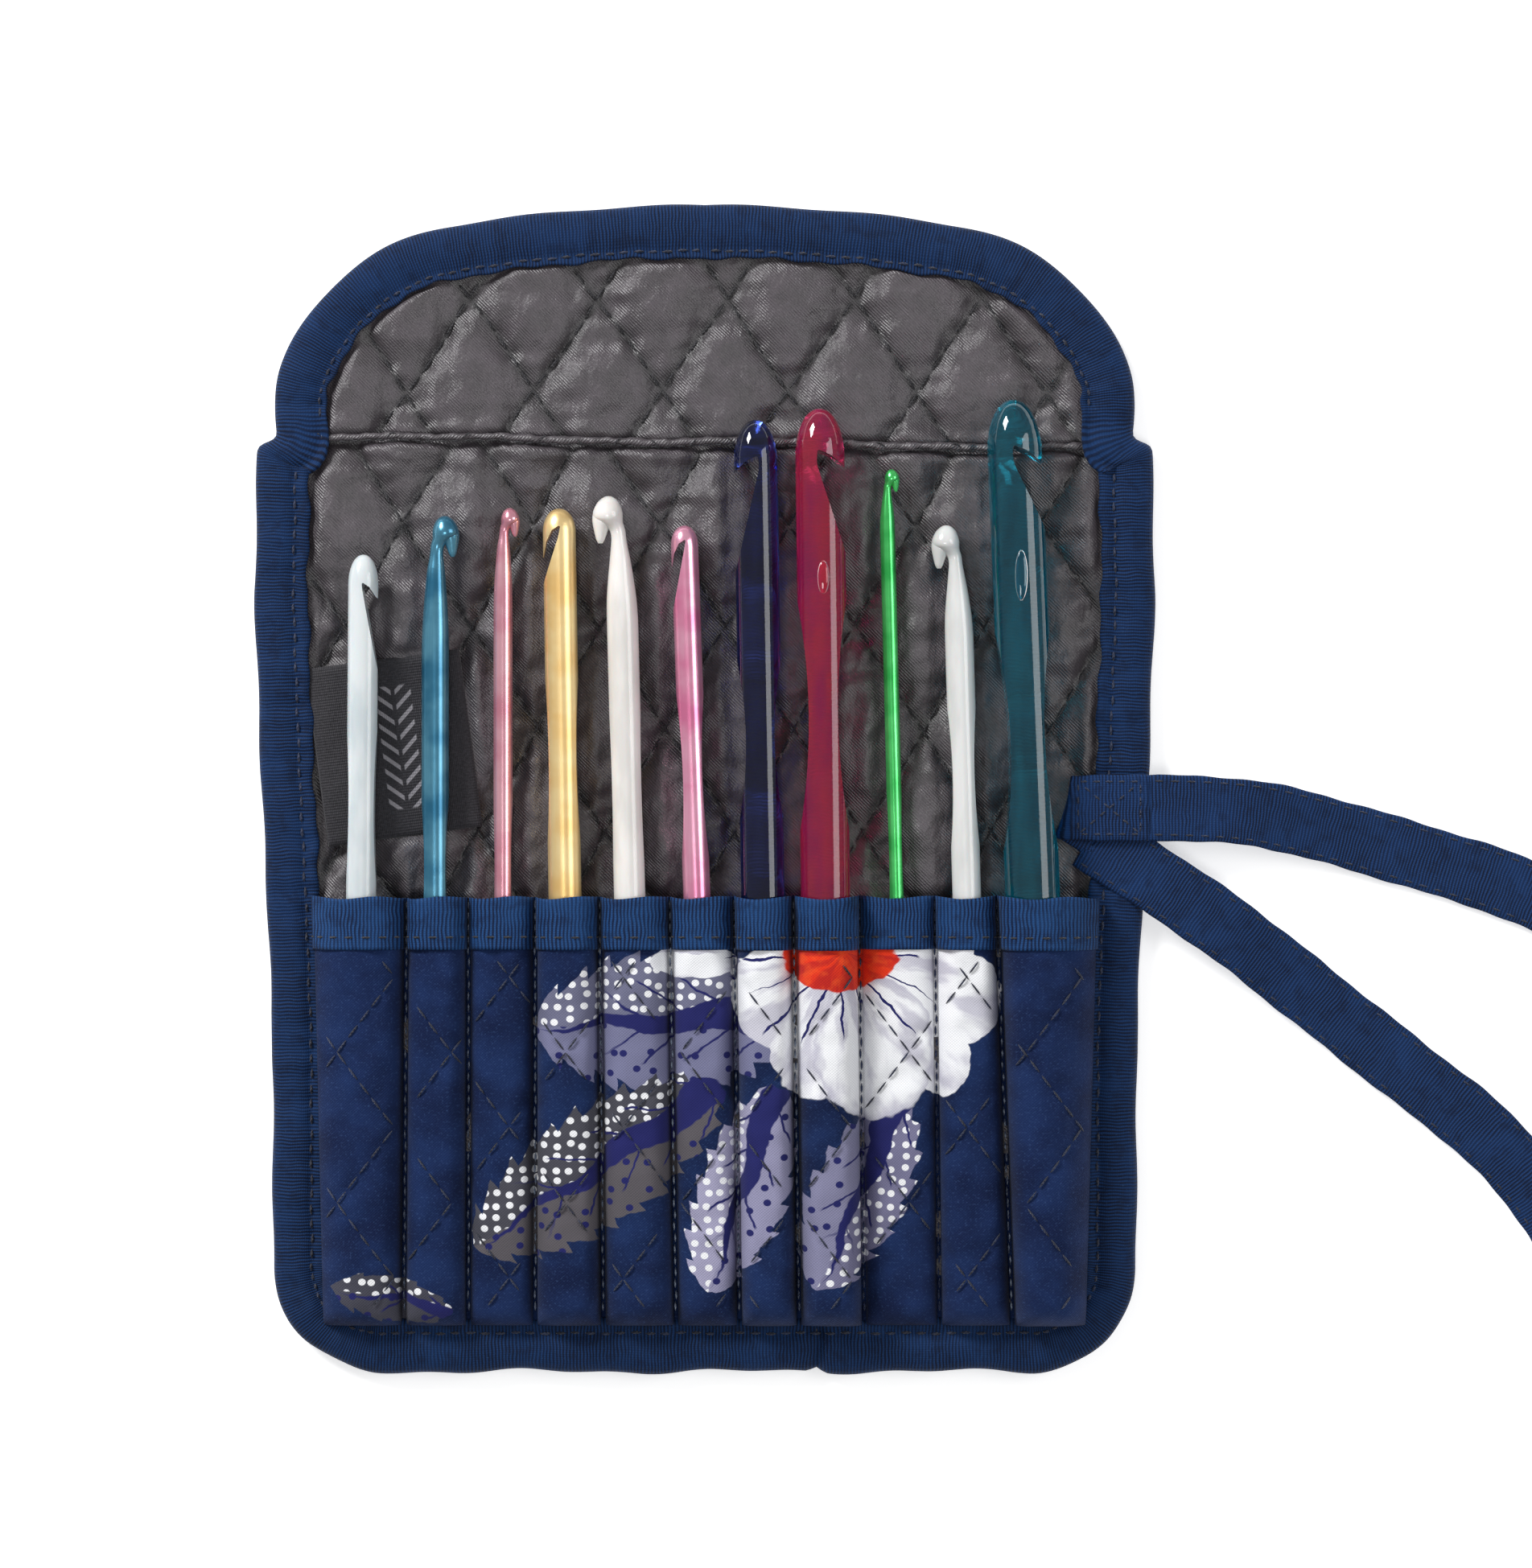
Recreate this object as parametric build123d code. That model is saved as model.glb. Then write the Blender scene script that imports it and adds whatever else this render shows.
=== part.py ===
from build123d import *
from math import atan2, cos, degrees, pi, radians, sin, tan
import os

# Crochet hooks in a quilted fabric case, lying open. Millimetres.
# +Y runs from the pocket end to the flap, +Z up off the table, the origin is under the middle of the open case.

# ---- case, overall ----
CASE_WIDTH = 165.0  # across the fold
CASE_TAPER = 3.4  # each side comes in by this much from the fold to the pocket end
BODY_LENGTH = 170.5  # pocket end to the fold
FLAP_CORNER = 40.2  # radius of the flap's two corners
FLAP_CROWN = 3.3  # the flap's top edge rises this far above them
FLAP_LENGTH = FLAP_CORNER + FLAP_CROWN  # fold to the top of the flap
FLAP_INSET = 2.3  # the flap is this much narrower than the body, each side
CORNER_RADIUS = 19.5  # bottom corners
FOLD_GAP = 0.6  # bare line between body and flap

# ---- fabric layers ----
OUTER_THICK = 1.0
WADDING_THICK = 2.2
LINING_THICK = 0.8
TAPE_THICK = 0.5  # ribbed binding tape
BINDING_WIDTH = 9.8
QUILT_THICK = OUTER_THICK + WADDING_THICK + LINING_THICK

# ---- fold ----
HINGE_HEIGHT = 12.2  # the soft fold rolls about a line this far above the table
SEAM_WIDTH = 2.4
SEAM_RISE = 0.45

# ---- pocket ----
POCKET_DEPTH = 77.3  # panel's bottom edge to the mouth
PANEL_THICK = 0.5
MOUTH_TAPE_THICK = 0.3
MOUTH_TAPE_WIDTH = 9.5
CHANNEL_GROOVE = 0.1  # flat width sewn down between two channels, clear of the mouth tape
HOOK_GAP = 0.28  # between a hook and the panel over it
HOOK_LIFT = 0.8  # under each hook, above the lining
CHANNEL_END = 1.8  # the panel comes down to the lining over this length
BUTT_GAP = 0.4  # from a hook's end to where the panel starts down
ARCH_STEPS = 8
THREAD_THICK = 0.5
THREAD_MARGIN = 4.0

# ---- label ----
LABEL_SIZE = (28.6, 32.8)
LABEL_IN = 14.6  # its middle, in from the left binding's inner edge
LABEL_UP = 27.3  # its middle, up from the pocket mouth
LABEL_TURN = 7.5
LABEL_THICK = 0.35

# ---- tie ----
TIE_WIDTH = 12.0
TIE_THICK = 1.2
ANCHOR_LENGTH = 15.5
TIE_GAP = 0.25  # between the two layers of tape
ANCHOR_Y = -3.6

BOTTOM_Y = -(BODY_LENGTH + FLAP_LENGTH) / 2
TOP_Y = -BOTTOM_Y
FOLD_Y = BOTTOM_Y + BODY_LENGTH
PANEL_BOTTOM_Y = BOTTOM_Y + BINDING_WIDTH
MOUTH_Y = PANEL_BOTTOM_Y + POCKET_DEPTH
ARCH_END_Y = PANEL_BOTTOM_Y + CHANNEL_END
BUTT_Y = ARCH_END_Y + BUTT_GAP
LINING_Z = QUILT_THICK
BINDING_TOP_Z = LINING_Z + TAPE_THICK

# Each hook: name, diameter, length, head, side its barb faces (-1 left, 1 right), the length over which its
# head becomes the full shank, the slack of its channel and its place in that slack (-1 left, 1 right) at the
# mouth, the same two at the pocket's bottom, and the thumb rest: distance up from the mouth, length and depth.
HOOKS = [
    ("hook_01_white", 5.5, 137.6, "moulded", 1, 21.0, 8.66, 0.04, 6.62, -0.26, (16.5, 28.0, 0.45)),
    ("hook_02_blue", 5.0, 144.7, "crook", 1, 25.0, 3.92, -0.13, 4.42, 0.0, (5.0, 26.0, 0.58)),
    ("hook_03_rose", 3.5, 146.2, "crook", 1, 18.0, 6.36, 0.10, 6.36, 0.10, (5.0, 24.0, 0.27)),
    ("hook_04_gold", 6.0, 146.0, "slit", -1, 13.8, 3.41, -0.18, 4.11, 0.27, (25.0, 30.0, 0.50)),
    ("hook_05_cream", 5.75, 148.4, "crook", -1, 22.8, 4.67, -0.35, 5.17, 0.10, (20.0, 28.0, 0.22)),
    ("hook_06_magenta", 5.0, 143.0, "slit", -1, 15.5, 4.38, -0.38, 4.23, 0.36, (22.0, 30.0, 0.74)),
    ("hook_07_blue_clear", 8.0, 162.1, "clear", -1, 28.0, 0.42, -0.41, 0.46, 0.75, (28.7, 29.0, 1.40)),
    ("hook_08_purple_clear", 9.0, 164.1, "clear", 1, 26.5, 0.62, -0.52, 0.44, -0.75, (33.1, 42.0, 1.84)),
    ("hook_09_green", 2.75, 153.3, "crook", 1, 10.9, 8.73, -0.02, 8.73, 0.21, (8.0, 22.0, 0.20)),
    ("hook_10_pearl", 5.25, 143.1, "crook", -1, 20.5, 3.67, 0.08, 5.67, 0.18, (22.0, 26.0, 0.65)),
    ("hook_11_teal", 10.0, 165.8, "clear", 1, 24.0, 5.17, -0.93, 0.73, 0.27, (28.4, 40.0, 1.90)),
]

# Heads cut into the shank, in radii of the hook, (towards the barb, down from the tip): length of the nose,
# the underside of the barb from its tip to the throat, and the start of the ramp behind the throat.
CUT_HEADS = {
    "clear": (2.0, [(0.94, 2.36), (0.45, 1.95), (-0.1, 1.7)], (-0.17, 2.25)),
    "slit": (1.45, [(0.96, 2.95), (0.78, 2.05), (0.42, 1.35), (-0.12, 1.02)], (0.02, 1.75)),
    "moulded": (2.0, [(0.9, 2.85), (0.5, 2.2), (-0.02, 1.85)], (0.0, 2.25)),
}
# A crook's head, neck and barb as rounds, in radii: distance from the tip, size, and shift towards the barb.
CROOK_NECK = [
    (0.03, 0.2, 0.7),
    (0.15, 0.42, 0.7),
    (0.4, 0.68, 0.72),
    (0.8, 0.88, 0.75),
    (1.15, 0.96, 0.76),
    (1.45, 0.92, 0.72),
    (1.7, 0.76, 0.56),
    (1.95, 0.6, 0.33),
    (2.25, 0.5, 0.16),
    (2.7, 0.48, 0.1),
    (3.3, 0.55, 0.08),
    (4.2, 0.68, 0.05),
]
CROOK_BARB = [
    (0.8, 0.6, 0.95),
    (1.15, 0.66, 1.06),
    (1.5, 0.64, 1.12),
    (1.8, 0.57, 1.16),
    (2.1, 0.48, 1.2),
    (2.5, 0.36, 1.24),
    (2.8, 0.26, 1.26),
    (3.0, 0.14, 1.27),
]


def side_x(y):
    """Half the body's width at y."""
    return CASE_WIDTH / 2 - CASE_TAPER * (FOLD_Y - y) / BODY_LENGTH


def slab(face, low, high):
    """A flat layer of fabric with this outline, from low to high above the table."""
    return extrude(Pos(0, 0, low) * face, high - low)


def body_face(inset):
    """Outline of the case's back, drawn in from the sides and bottom by inset."""
    top = FOLD_Y - FOLD_GAP / 2
    low = BOTTOM_Y + inset
    wide, narrow = side_x(top) - inset, side_x(low) - inset
    outline = make_face(Polyline((-wide, top), (-narrow, low), (narrow, low), (wide, top), close=True))
    if inset >= BINDING_WIDTH:  # the binding is mitred at its inner corners
        return outline
    corners = [v for v in outline.vertices() if v.Y < 0]
    return fillet(corners, CORNER_RADIUS - inset)


def flap_face(inset):
    """Outline of the flap, drawn in by inset: two large corner arcs joined by a shallow crown."""
    base = FOLD_Y + FOLD_GAP / 2
    corner = FLAP_CORNER - FOLD_GAP / 2
    middle = CASE_WIDTH / 2 - FLAP_INSET - corner
    corner -= inset
    rise = corner + FLAP_CROWN
    crown = (middle**2 + rise**2 - corner**2) / (2 * FLAP_CROWN)
    join = degrees(atan2(crown - rise, middle))
    right = CenterArc((middle, base), corner, 0, join)
    top = CenterArc((0, base + rise - crown), crown, join, 180 - 2 * join)
    left = CenterArc((-middle, base), corner, 180 - join, join)
    return make_face(Curve() + [right, top, left, Line(left @ 1, right @ 0)])


def quilt(outline):
    """Outer fabric, wadding, lining and folded binding tape of one quilted panel."""
    inner = outline(BINDING_WIDTH)
    tucked = outline(TAPE_THICK)
    outer = slab(tucked, 0, OUTER_THICK)
    outer -= slab(tucked, 0, TAPE_THICK) - slab(inner, 0, TAPE_THICK)
    wadding = slab(tucked, OUTER_THICK, OUTER_THICK + WADDING_THICK)
    lining = slab(tucked, OUTER_THICK + WADDING_THICK, QUILT_THICK)
    binding = slab(outline(0), 0, BINDING_TOP_Z)
    binding = binding - slab(tucked, TAPE_THICK, LINING_Z) - slab(inner, 0, BINDING_TOP_Z)
    return outer, wadding, lining, binding


def fold_seam():
    """The stitched tuck across the case, just on the body's side of the fold."""
    high = FOLD_Y - FOLD_GAP / 2
    half = side_x(high - SEAM_WIDTH) - BINDING_WIDTH
    tuck = Polyline(
        (high, LINING_Z), (high - SEAM_WIDTH, LINING_Z), (high - SEAM_WIDTH / 2, LINING_Z + SEAM_RISE), close=True
    )
    return extrude(Plane.YZ * make_face(tuck), half, both=True)


# ---- channels and hooks: one layout for both ----


def arch_reach(radius):
    """Radius of the corners of the panel's inner arch, whose flats clear the hook by HOOK_GAP."""
    return (radius + HOOK_GAP) / cos(pi / ARCH_STEPS / 2)


def channel_need(diameter):
    """Least width of a channel that holds a hook of this diameter."""
    return 2 * (arch_reach(diameter / 2) + PANEL_THICK + MOUTH_TAPE_THICK) + CHANNEL_GROOVE


def layout(y):
    """Channel lines and hook centres across the pocket at y."""
    share = (y - PANEL_BOTTOM_Y) / POCKET_DEPTH
    slacks = [low + (mouth - low) * share for *_, mouth, _, low, _, _ in HOOKS]
    needs = [channel_need(hook[1]) for hook in HOOKS]
    half = side_x(y) - BINDING_WIDTH
    scale = (2 * half - sum(needs)) / sum(slacks)
    lines, centres = [-half], []
    for hook, slack, need in zip(HOOKS, slacks, needs):
        place = hook[9] + (hook[7] - hook[9]) * share
        width = need + slack * scale
        centres.append(lines[-1] + width / 2 + place * slack * scale / 2)
        lines.append(lines[-1] + width)
    return lines, centres


def between(low, high, share):
    return [a + (b - a) * share for a, b in zip(low, high)]


LINES_LOW, CENTRES_LOW = layout(PANEL_BOTTOM_Y)
LINES_MOUTH, CENTRES_MOUTH = layout(MOUTH_Y)


def arch_profile(y, offset, rise=1.0):
    """Points across the pocket at y: up and over every hook, offset outwards by this thickness."""
    share = (y - PANEL_BOTTOM_Y) / POCKET_DEPTH
    lines = between(LINES_LOW, LINES_MOUTH, share)
    centres = between(CENTRES_LOW, CENTRES_MOUTH, share)
    foot_z = LINING_Z + offset
    points = []
    for left, right, centre, hook in zip(lines, lines[1:], centres, HOOKS):
        radius = hook[1] / 2
        axis_z = LINING_Z + HOOK_LIFT + radius
        reach = arch_reach(radius) + offset
        foot = CHANNEL_GROOVE / 2 + PANEL_THICK + MOUTH_TAPE_THICK - offset
        points.append((left + foot, foot_z))
        for step in range(ARCH_STEPS + 1):
            turn = pi - pi * step / ARCH_STEPS
            z = axis_z + reach * sin(turn)
            points.append((centre + reach * cos(turn), foot_z + (z - foot_z) * rise))
        points.append((right - foot, foot_z))
    return points


def arch_face(y, low, high, rise=1.0):
    """Cross section of a cloth layer over the hooks, between two offsets."""
    over = arch_profile(y, high, rise)
    under = arch_profile(y, low, rise)
    outline = Polyline(*over, *reversed(under), close=True)
    return Pos(0, y, 0) * (Plane.XZ * make_face(outline))


def pocket_panel():
    """Cotton panel: channels from the mouth down, brought down to the lining at the pocket's bottom."""
    full = [arch_face(y, 0, PANEL_THICK) for y in (MOUTH_Y, ARCH_END_Y)]
    return loft([*full, arch_face(PANEL_BOTTOM_Y, 0, PANEL_THICK, 0.0)], ruled=True)


def pocket_tape():
    """Ribbed tape sewn over the top edge of the panel."""
    outer = PANEL_THICK + MOUTH_TAPE_THICK
    low = arch_face(MOUTH_Y - MOUTH_TAPE_WIDTH, PANEL_THICK, outer)
    return loft([arch_face(MOUTH_Y, PANEL_THICK, outer), low], ruled=True)


def channel_stitches():
    """One line of thread between each two channels, from the bottom up to the mouth tape."""
    low = ARCH_END_Y + THREAD_MARGIN
    high = MOUTH_Y - MOUTH_TAPE_WIDTH - THREAD_MARGIN
    shares = [(y - PANEL_BOTTOM_Y) / POCKET_DEPTH for y in (low, high)]
    threads = []
    for bottom, mouth in zip(LINES_LOW[1:-1], LINES_MOUTH[1:-1]):
        ends = [bottom + (mouth - bottom) * share for share in shares]
        length = ((high - low) ** 2 + (ends[1] - ends[0]) ** 2) ** 0.5
        turn = -degrees(atan2(ends[1] - ends[0], high - low))
        z = LINING_Z + PANEL_THICK + THREAD_THICK / 2
        place = Pos(sum(ends) / 2, (low + high) / 2, z) * Rot(0, 0, turn)
        threads.append(place * Box(THREAD_THICK, length, THREAD_THICK))
    return Compound(children=threads)


# ---- hooks: drawn along +Y from the tip at zero down to the butt, barb towards +X ----


def shank_face(radius, length, nose):
    """Half the outline of a round shank with a pointed nose and a domed butt."""
    dome = radius * 0.6
    tip = Bezier((0, 0), (0.62 * radius, 0), (radius, -0.45 * nose), (radius, -nose))
    butt = Bezier((radius, -length + dome), (radius, -length + 0.4 * dome), (0.6 * radius, -length), (0, -length))
    return make_face(Curve() + [tip, Line(tip @ 1, butt @ 0), butt, Line((0, -length), (0, 0))])


def round_shank(radius, length, nose):
    return revolve(shank_face(radius, length, nose), Axis.Y)


def cut_hook(radius, length, ramp, style):
    """A head in line with the shank: a slanted throat under the barb, and a flat ramp behind it."""
    nose, underside, start = CUT_HEADS[style]
    shank = round_shank(radius, length, nose * radius)
    throat = underside[-1]
    outline = [(1.5, underside[0][1] + 0.3), *underside, start, (1.0, ramp / radius), (1.5, ramp / radius)]
    cut = make_face(Polyline(*[(x * radius, -y * radius) for x, y in outline], close=True))
    for place, bend in ((throat, 0.08), (start, 1.5)):
        corner = cut.vertices().sort_by_distance((place[0] * radius, -place[1] * radius))[:1]
        cut = fillet(corner, bend * radius)
    return shank - extrude(cut, 2 * radius, both=True)


def smoothed(knots, steps):
    """Rounds between the knots too, on a curve through them all."""
    rounds = [knots[0]]
    ends = [knots[0], *knots, knots[-1]]
    for before, a, b, after in zip(ends, ends[1:], ends[2:], ends[3:]):
        for step in range(1, steps + 1):
            t = step / steps
            weights = (-t + 2 * t**2 - t**3, 2 - 5 * t**2 + 3 * t**3, t + 4 * t**2 - 3 * t**3, t**3 - t**2)
            rounds.append(tuple(sum(w * k[i] for w, k in zip(weights, (before, a, b, after))) / 2 for i in range(3)))
    return rounds


def rounds_loft(rounds, radius):
    """A solid through circles that face along Y."""
    circles = [Pos(shift * radius, -y * radius, 0) * (Plane.XZ * Circle(size * radius)) for y, size, shift in rounds]
    return loft(circles, ruled=True)


def crook_hook(radius, length, taper):
    """A bent head with a rounded barb, on a slim neck that swells to the full shank over the taper."""
    full = taper / radius
    last = CROOK_NECK[-1]
    swell = [(last[0] + (full - last[0]) * t, last[1] + (1 - last[1]) * sin(t * pi / 2), last[2] * (1 - t))
             for t in (0.33, 0.66, 1.0)]
    neck = rounds_loft(smoothed(CROOK_NECK + swell, 3), radius)
    barb = rounds_loft(smoothed(CROOK_BARB, 2), radius)
    keep = Pos(0, -taper - length / 2, 0) * Box(4 * radius, length, 4 * radius)
    return neck + barb + (round_shank(radius, length, 0.5 * radius) & keep)


def thumb_rest(radius, rest_length, depth):
    """The two scoops that flatten a shank where the thumb and finger hold it."""
    bend = ((rest_length / 2) ** 2 + depth**2) / (2 * depth)
    scoop = Cylinder(bend, 4 * radius)
    return [Pos(side * (radius - depth + bend), 0, 0) * scoop for side in (-1, 1)]


def hook(number):
    """One hook in its channel, tip up, leaning as the channel leans."""
    name, diameter, length, style, barb, ramp, *_, rest = HOOKS[number]
    radius = diameter / 2
    solid = crook_hook(radius, length, ramp) if style == "crook" else cut_hook(radius, length, ramp, style)
    from_butt = MOUTH_Y + rest[0] - BUTT_Y
    for scoop in thumb_rest(radius, rest[1], rest[2]):
        solid -= Pos(0, -length + from_butt, 0) * scoop
    if barb < 0:
        solid = Rot(0, 180, 0) * solid
    low, mouth = CENTRES_LOW[number], CENTRES_MOUTH[number]
    lean = atan2(mouth - low, POCKET_DEPTH)
    butt_x = low + (BUTT_Y - PANEL_BOTTOM_Y) * tan(lean)
    place = Pos(butt_x, BUTT_Y, LINING_Z + HOOK_LIFT + radius) * Rot(0, 0, -degrees(lean)) * Pos(0, length, 0)
    print(f"{name}: slides along ({sin(lean):.5f}, {cos(lean):.5f}, 0), lean {degrees(lean):.2f} degrees")
    return name, place * solid


# ---- label and tie ----


def label(binding):
    """Woven label sewn flat on the lining, its outer edge under the binding."""
    middle_y = MOUTH_Y + LABEL_UP
    middle_x = BINDING_WIDTH - side_x(middle_y) + LABEL_IN
    place = Pos(middle_x, middle_y, LINING_Z + LABEL_THICK / 2) * Rot(0, 0, LABEL_TURN)
    return place * Box(*LABEL_SIZE, LABEL_THICK) - binding


def tie(points):
    """Flat tape along a route of straight runs joined by large arcs."""
    turns = []
    for a, b, c in zip(points, points[1:], points[2:]):
        first, second = Vector(*b) - Vector(*a), Vector(*c) - Vector(*b)
        turn = radians(first.get_angle(second))
        turns.append(0.45 * min(first.length, second.length) / tan(turn / 2))
    print("tie radii:", [round(r, 1) for r in turns])
    path = FilletPolyline(*points, radius=turns)
    across = Vector(0, 0, 1).cross(path % 0)
    start = Plane(path @ 0, x_dir=across, z_dir=path % 0)
    band = sweep(start * Rectangle(TIE_WIDTH, TIE_THICK), path=path)
    share = band.volume / (TIE_THICK * TIE_WIDTH * path.length)
    print(f"tie length {path.length:.1f}, volume over section times length {share:.4f}")
    return band


TIE_FLOOR = TIE_THICK / 2 + 0.3  # the tape's middle, with room under it for a slight twist
ANCHOR_RIGHT = side_x(ANCHOR_Y) - 0.1
ANCHOR_LOW = BINDING_TOP_Z + TIE_THICK + TIE_GAP
UPPER_EXIT_Z = ANCHOR_LOW + TIE_THICK / 2
LOWER_EXIT_Z = BINDING_TOP_Z + TIE_THICK / 2 + 0.02

TIE_UPPER = [
    (ANCHOR_RIGHT, ANCHOR_Y, UPPER_EXIT_Z),
    (97.0, ANCHOR_Y, UPPER_EXIT_Z),
    (113.0, -7.2, 1.9),
    (130.0, -12.2, TIE_FLOOR),
    (149.0, -18.0, TIE_FLOOR),
    (167.0, -27.0, TIE_FLOOR),
    (181.0, -43.0, TIE_FLOOR),
    (189.0, -64.0, TIE_FLOOR),
    (188.0, -88.0, TIE_FLOOR),
    (183.0, -110.0, TIE_FLOOR),
    (182.0, -131.0, TIE_FLOOR),
]
TIE_LOWER = [
    (70.5, -9.0, LOWER_EXIT_Z),
    (91.5, -22.4, 5.6),
    (108.0, -35.2, 1.4),
    (128.0, -51.2, TIE_FLOOR),
    (146.0, -65.0, TIE_FLOOR),
    (160.0, -83.0, TIE_FLOOR),
    (164.0, -105.0, TIE_FLOOR),
    (162.0, -127.0, TIE_FLOOR),
    (163.0, -148.0, TIE_FLOOR),
]


def tie_anchor(binding, lower):
    """The tie tape's folded middle, sewn across the right-hand binding."""
    high = ANCHOR_LOW + TIE_THICK
    middle = Pos(ANCHOR_RIGHT - ANCHOR_LENGTH / 2, ANCHOR_Y, (LINING_Z + high) / 2)
    return middle * Box(ANCHOR_LENGTH, TIE_WIDTH, high - LINING_Z) - binding - lower


def build():
    nodes = {}
    body = quilt(body_face)
    flap = quilt(flap_face)
    for layer, solid in zip(("outer", "wadding", "lining", "binding"), body):
        nodes[f"body_{layer}"] = solid
    for layer, solid in zip(("outer", "wadding", "lining", "binding"), flap):
        nodes[f"flap_{layer}"] = solid
    binding = nodes["body_binding"]
    nodes["fold_seam"] = fold_seam()
    nodes["pocket_panel"] = pocket_panel()
    nodes["pocket_tape"] = pocket_tape()
    nodes["channel_stitches"] = channel_stitches()
    nodes["label"] = label(binding)
    nodes["tie_upper"] = tie(TIE_UPPER)
    nodes["tie_lower"] = tie(TIE_LOWER)
    nodes["tie_anchor"] = tie_anchor(binding, nodes["tie_lower"])
    for number in range(len(HOOKS)):
        name, solid = hook(number)
        nodes[name] = solid
    return nodes


os.makedirs("parts", exist_ok=True)
for node, solid in build().items():
    export_step(solid, f"parts/{node}.step")
print(f"fold line at y {FOLD_Y:.2f}, hinge height {HINGE_HEIGHT:.2f}, mouth y {MOUTH_Y:.2f}")
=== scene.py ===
"""Looks for a set of crochet hooks in a quilted fabric case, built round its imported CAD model.

Lengths are in millimetres until a mesh is made, and the frame is the CAD's: +Z up, the fold along X.
"""

import bpy
import numpy as np
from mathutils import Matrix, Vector


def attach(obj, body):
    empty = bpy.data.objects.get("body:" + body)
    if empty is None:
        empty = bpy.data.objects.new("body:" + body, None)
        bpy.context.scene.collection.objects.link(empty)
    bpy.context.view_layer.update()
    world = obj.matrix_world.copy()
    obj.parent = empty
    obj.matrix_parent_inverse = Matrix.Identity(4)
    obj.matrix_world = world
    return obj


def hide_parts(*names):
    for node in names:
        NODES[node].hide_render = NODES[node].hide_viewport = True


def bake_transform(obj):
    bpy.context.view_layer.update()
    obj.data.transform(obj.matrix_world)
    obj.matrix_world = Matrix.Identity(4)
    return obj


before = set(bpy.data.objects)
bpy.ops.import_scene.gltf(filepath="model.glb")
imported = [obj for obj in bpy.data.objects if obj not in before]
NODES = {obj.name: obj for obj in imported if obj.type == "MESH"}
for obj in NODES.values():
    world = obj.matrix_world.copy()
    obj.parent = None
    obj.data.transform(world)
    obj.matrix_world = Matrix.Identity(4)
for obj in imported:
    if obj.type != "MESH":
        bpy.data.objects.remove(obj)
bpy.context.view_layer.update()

# ---- the case's own sizes, as in the CAD ----
CASE_WIDTH, CASE_TAPER, BODY_LENGTH = 165.0, 3.4, 170.5
FLAP_CORNER, FLAP_CROWN, FLAP_INSET = 40.2, 3.3, 2.3
CORNER_RADIUS, BINDING_WIDTH = 19.5, 9.8
BOTTOM_Y = -(BODY_LENGTH + FLAP_CORNER + FLAP_CROWN) / 2
TOP_Y = -BOTTOM_Y
FOLD_Y = BOTTOM_Y + BODY_LENGTH
PANEL_BOTTOM_Y = BOTTOM_Y + BINDING_WIDTH
MOUTH_Y = PANEL_BOTTOM_Y + 77.3
MOUTH_TAPE_WIDTH = 9.5
TIE_WIDTH, TIE_THICK, ANCHOR_Y = 12.0, 1.2, -3.6

# Channels and hooks: diameter, channel line to the left at the mouth and the bottom, hook's middle at both.
HOOKS = [
    (5.5, -71.04, -69.5, -62.6, -63.1),
    (5.0, -54.5, -55.0, -49.1, -49.1),
    (3.5, -43.2, -43.2, -36.8, -36.8),
    (6.0, -31.0, -31.0, -25.4, -24.2),
    (5.75, -19.2, -18.5, -13.6, -11.6),
    (5.0, -6.4, -5.2, -1.35, 1.35),
    (8.0, 5.35, 6.4, 10.7, 12.0),
    (9.0, 16.22, 17.3, 22.1, 23.0),
    (2.75, 28.3, 29.2, 35.1, 37.0),
    (5.25, 42.1, 43.0, 47.9, 50.15),
    (10.0, 53.4, 56.3, 59.8, 63.0),
]
LAST_LINE = (71.04, 69.5)

STITCH_LIFT = np.array([-0.15, 0.08, 0.08, -0.15])  # a stitch's height along its length, dipping at both ends
DEEP_LIFT = np.array([-0.3, 0.05, 0.05, -0.3])
TURN = 6.2832


# ---- camera ----

VIEW_CENTRE = (11.25, 0.76)
VIEW_HEIGHT = 286.6
LENS, SENSOR = 100.0, 36.0
LOOK_Z = 6.0


def add_object(name, data):
    piece = bpy.data.objects.new(name, data)
    bpy.context.scene.collection.objects.link(piece)
    return piece


def make_camera():
    data = bpy.data.cameras.new("camera")
    data.lens, data.sensor_width = LENS, SENSOR
    data.dof.use_dof = False
    camera = add_object("camera", data)
    camera.location = (
        VIEW_CENTRE[0] / 1000,
        VIEW_CENTRE[1] / 1000,
        (LOOK_Z + VIEW_HEIGHT * LENS / SENSOR) / 1000,
    )
    bpy.context.scene.camera = camera


# ---- mesh helpers ----


def make_mesh(name, points, faces, uv, material):
    """A smooth mesh from points in millimetres, four-cornered faces, and a UV in millimetres for each face corner."""
    data = bpy.data.meshes.new(name)
    points = np.asarray(points, float) / 1000
    faces = np.asarray(faces, int)
    data.vertices.add(len(points))
    data.vertices.foreach_set("co", points.ravel())
    data.loops.add(faces.size)
    data.loops.foreach_set("vertex_index", faces.ravel())
    data.polygons.add(len(faces))
    data.polygons.foreach_set("loop_start", np.arange(0, faces.size, 4))
    data.polygons.foreach_set("use_smooth", np.ones(len(faces), bool))
    layer = data.uv_layers.new(name="UVMap")
    layer.data.foreach_set("uv", np.asarray(uv, float).ravel())
    data.update(calc_edges=True)
    data.validate()
    data.materials.append(material)
    return add_object(name, data)


def reach_along(points):
    """How far along a line of points each one is."""
    return np.concatenate([[0], np.cumsum(np.linalg.norm(np.diff(points, axis=0), axis=1))])


def section_reach(a, b):
    """How far along a flat section each of its points is."""
    return np.concatenate([[0], np.cumsum(np.hypot(np.diff(a), np.diff(b)))])


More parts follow.
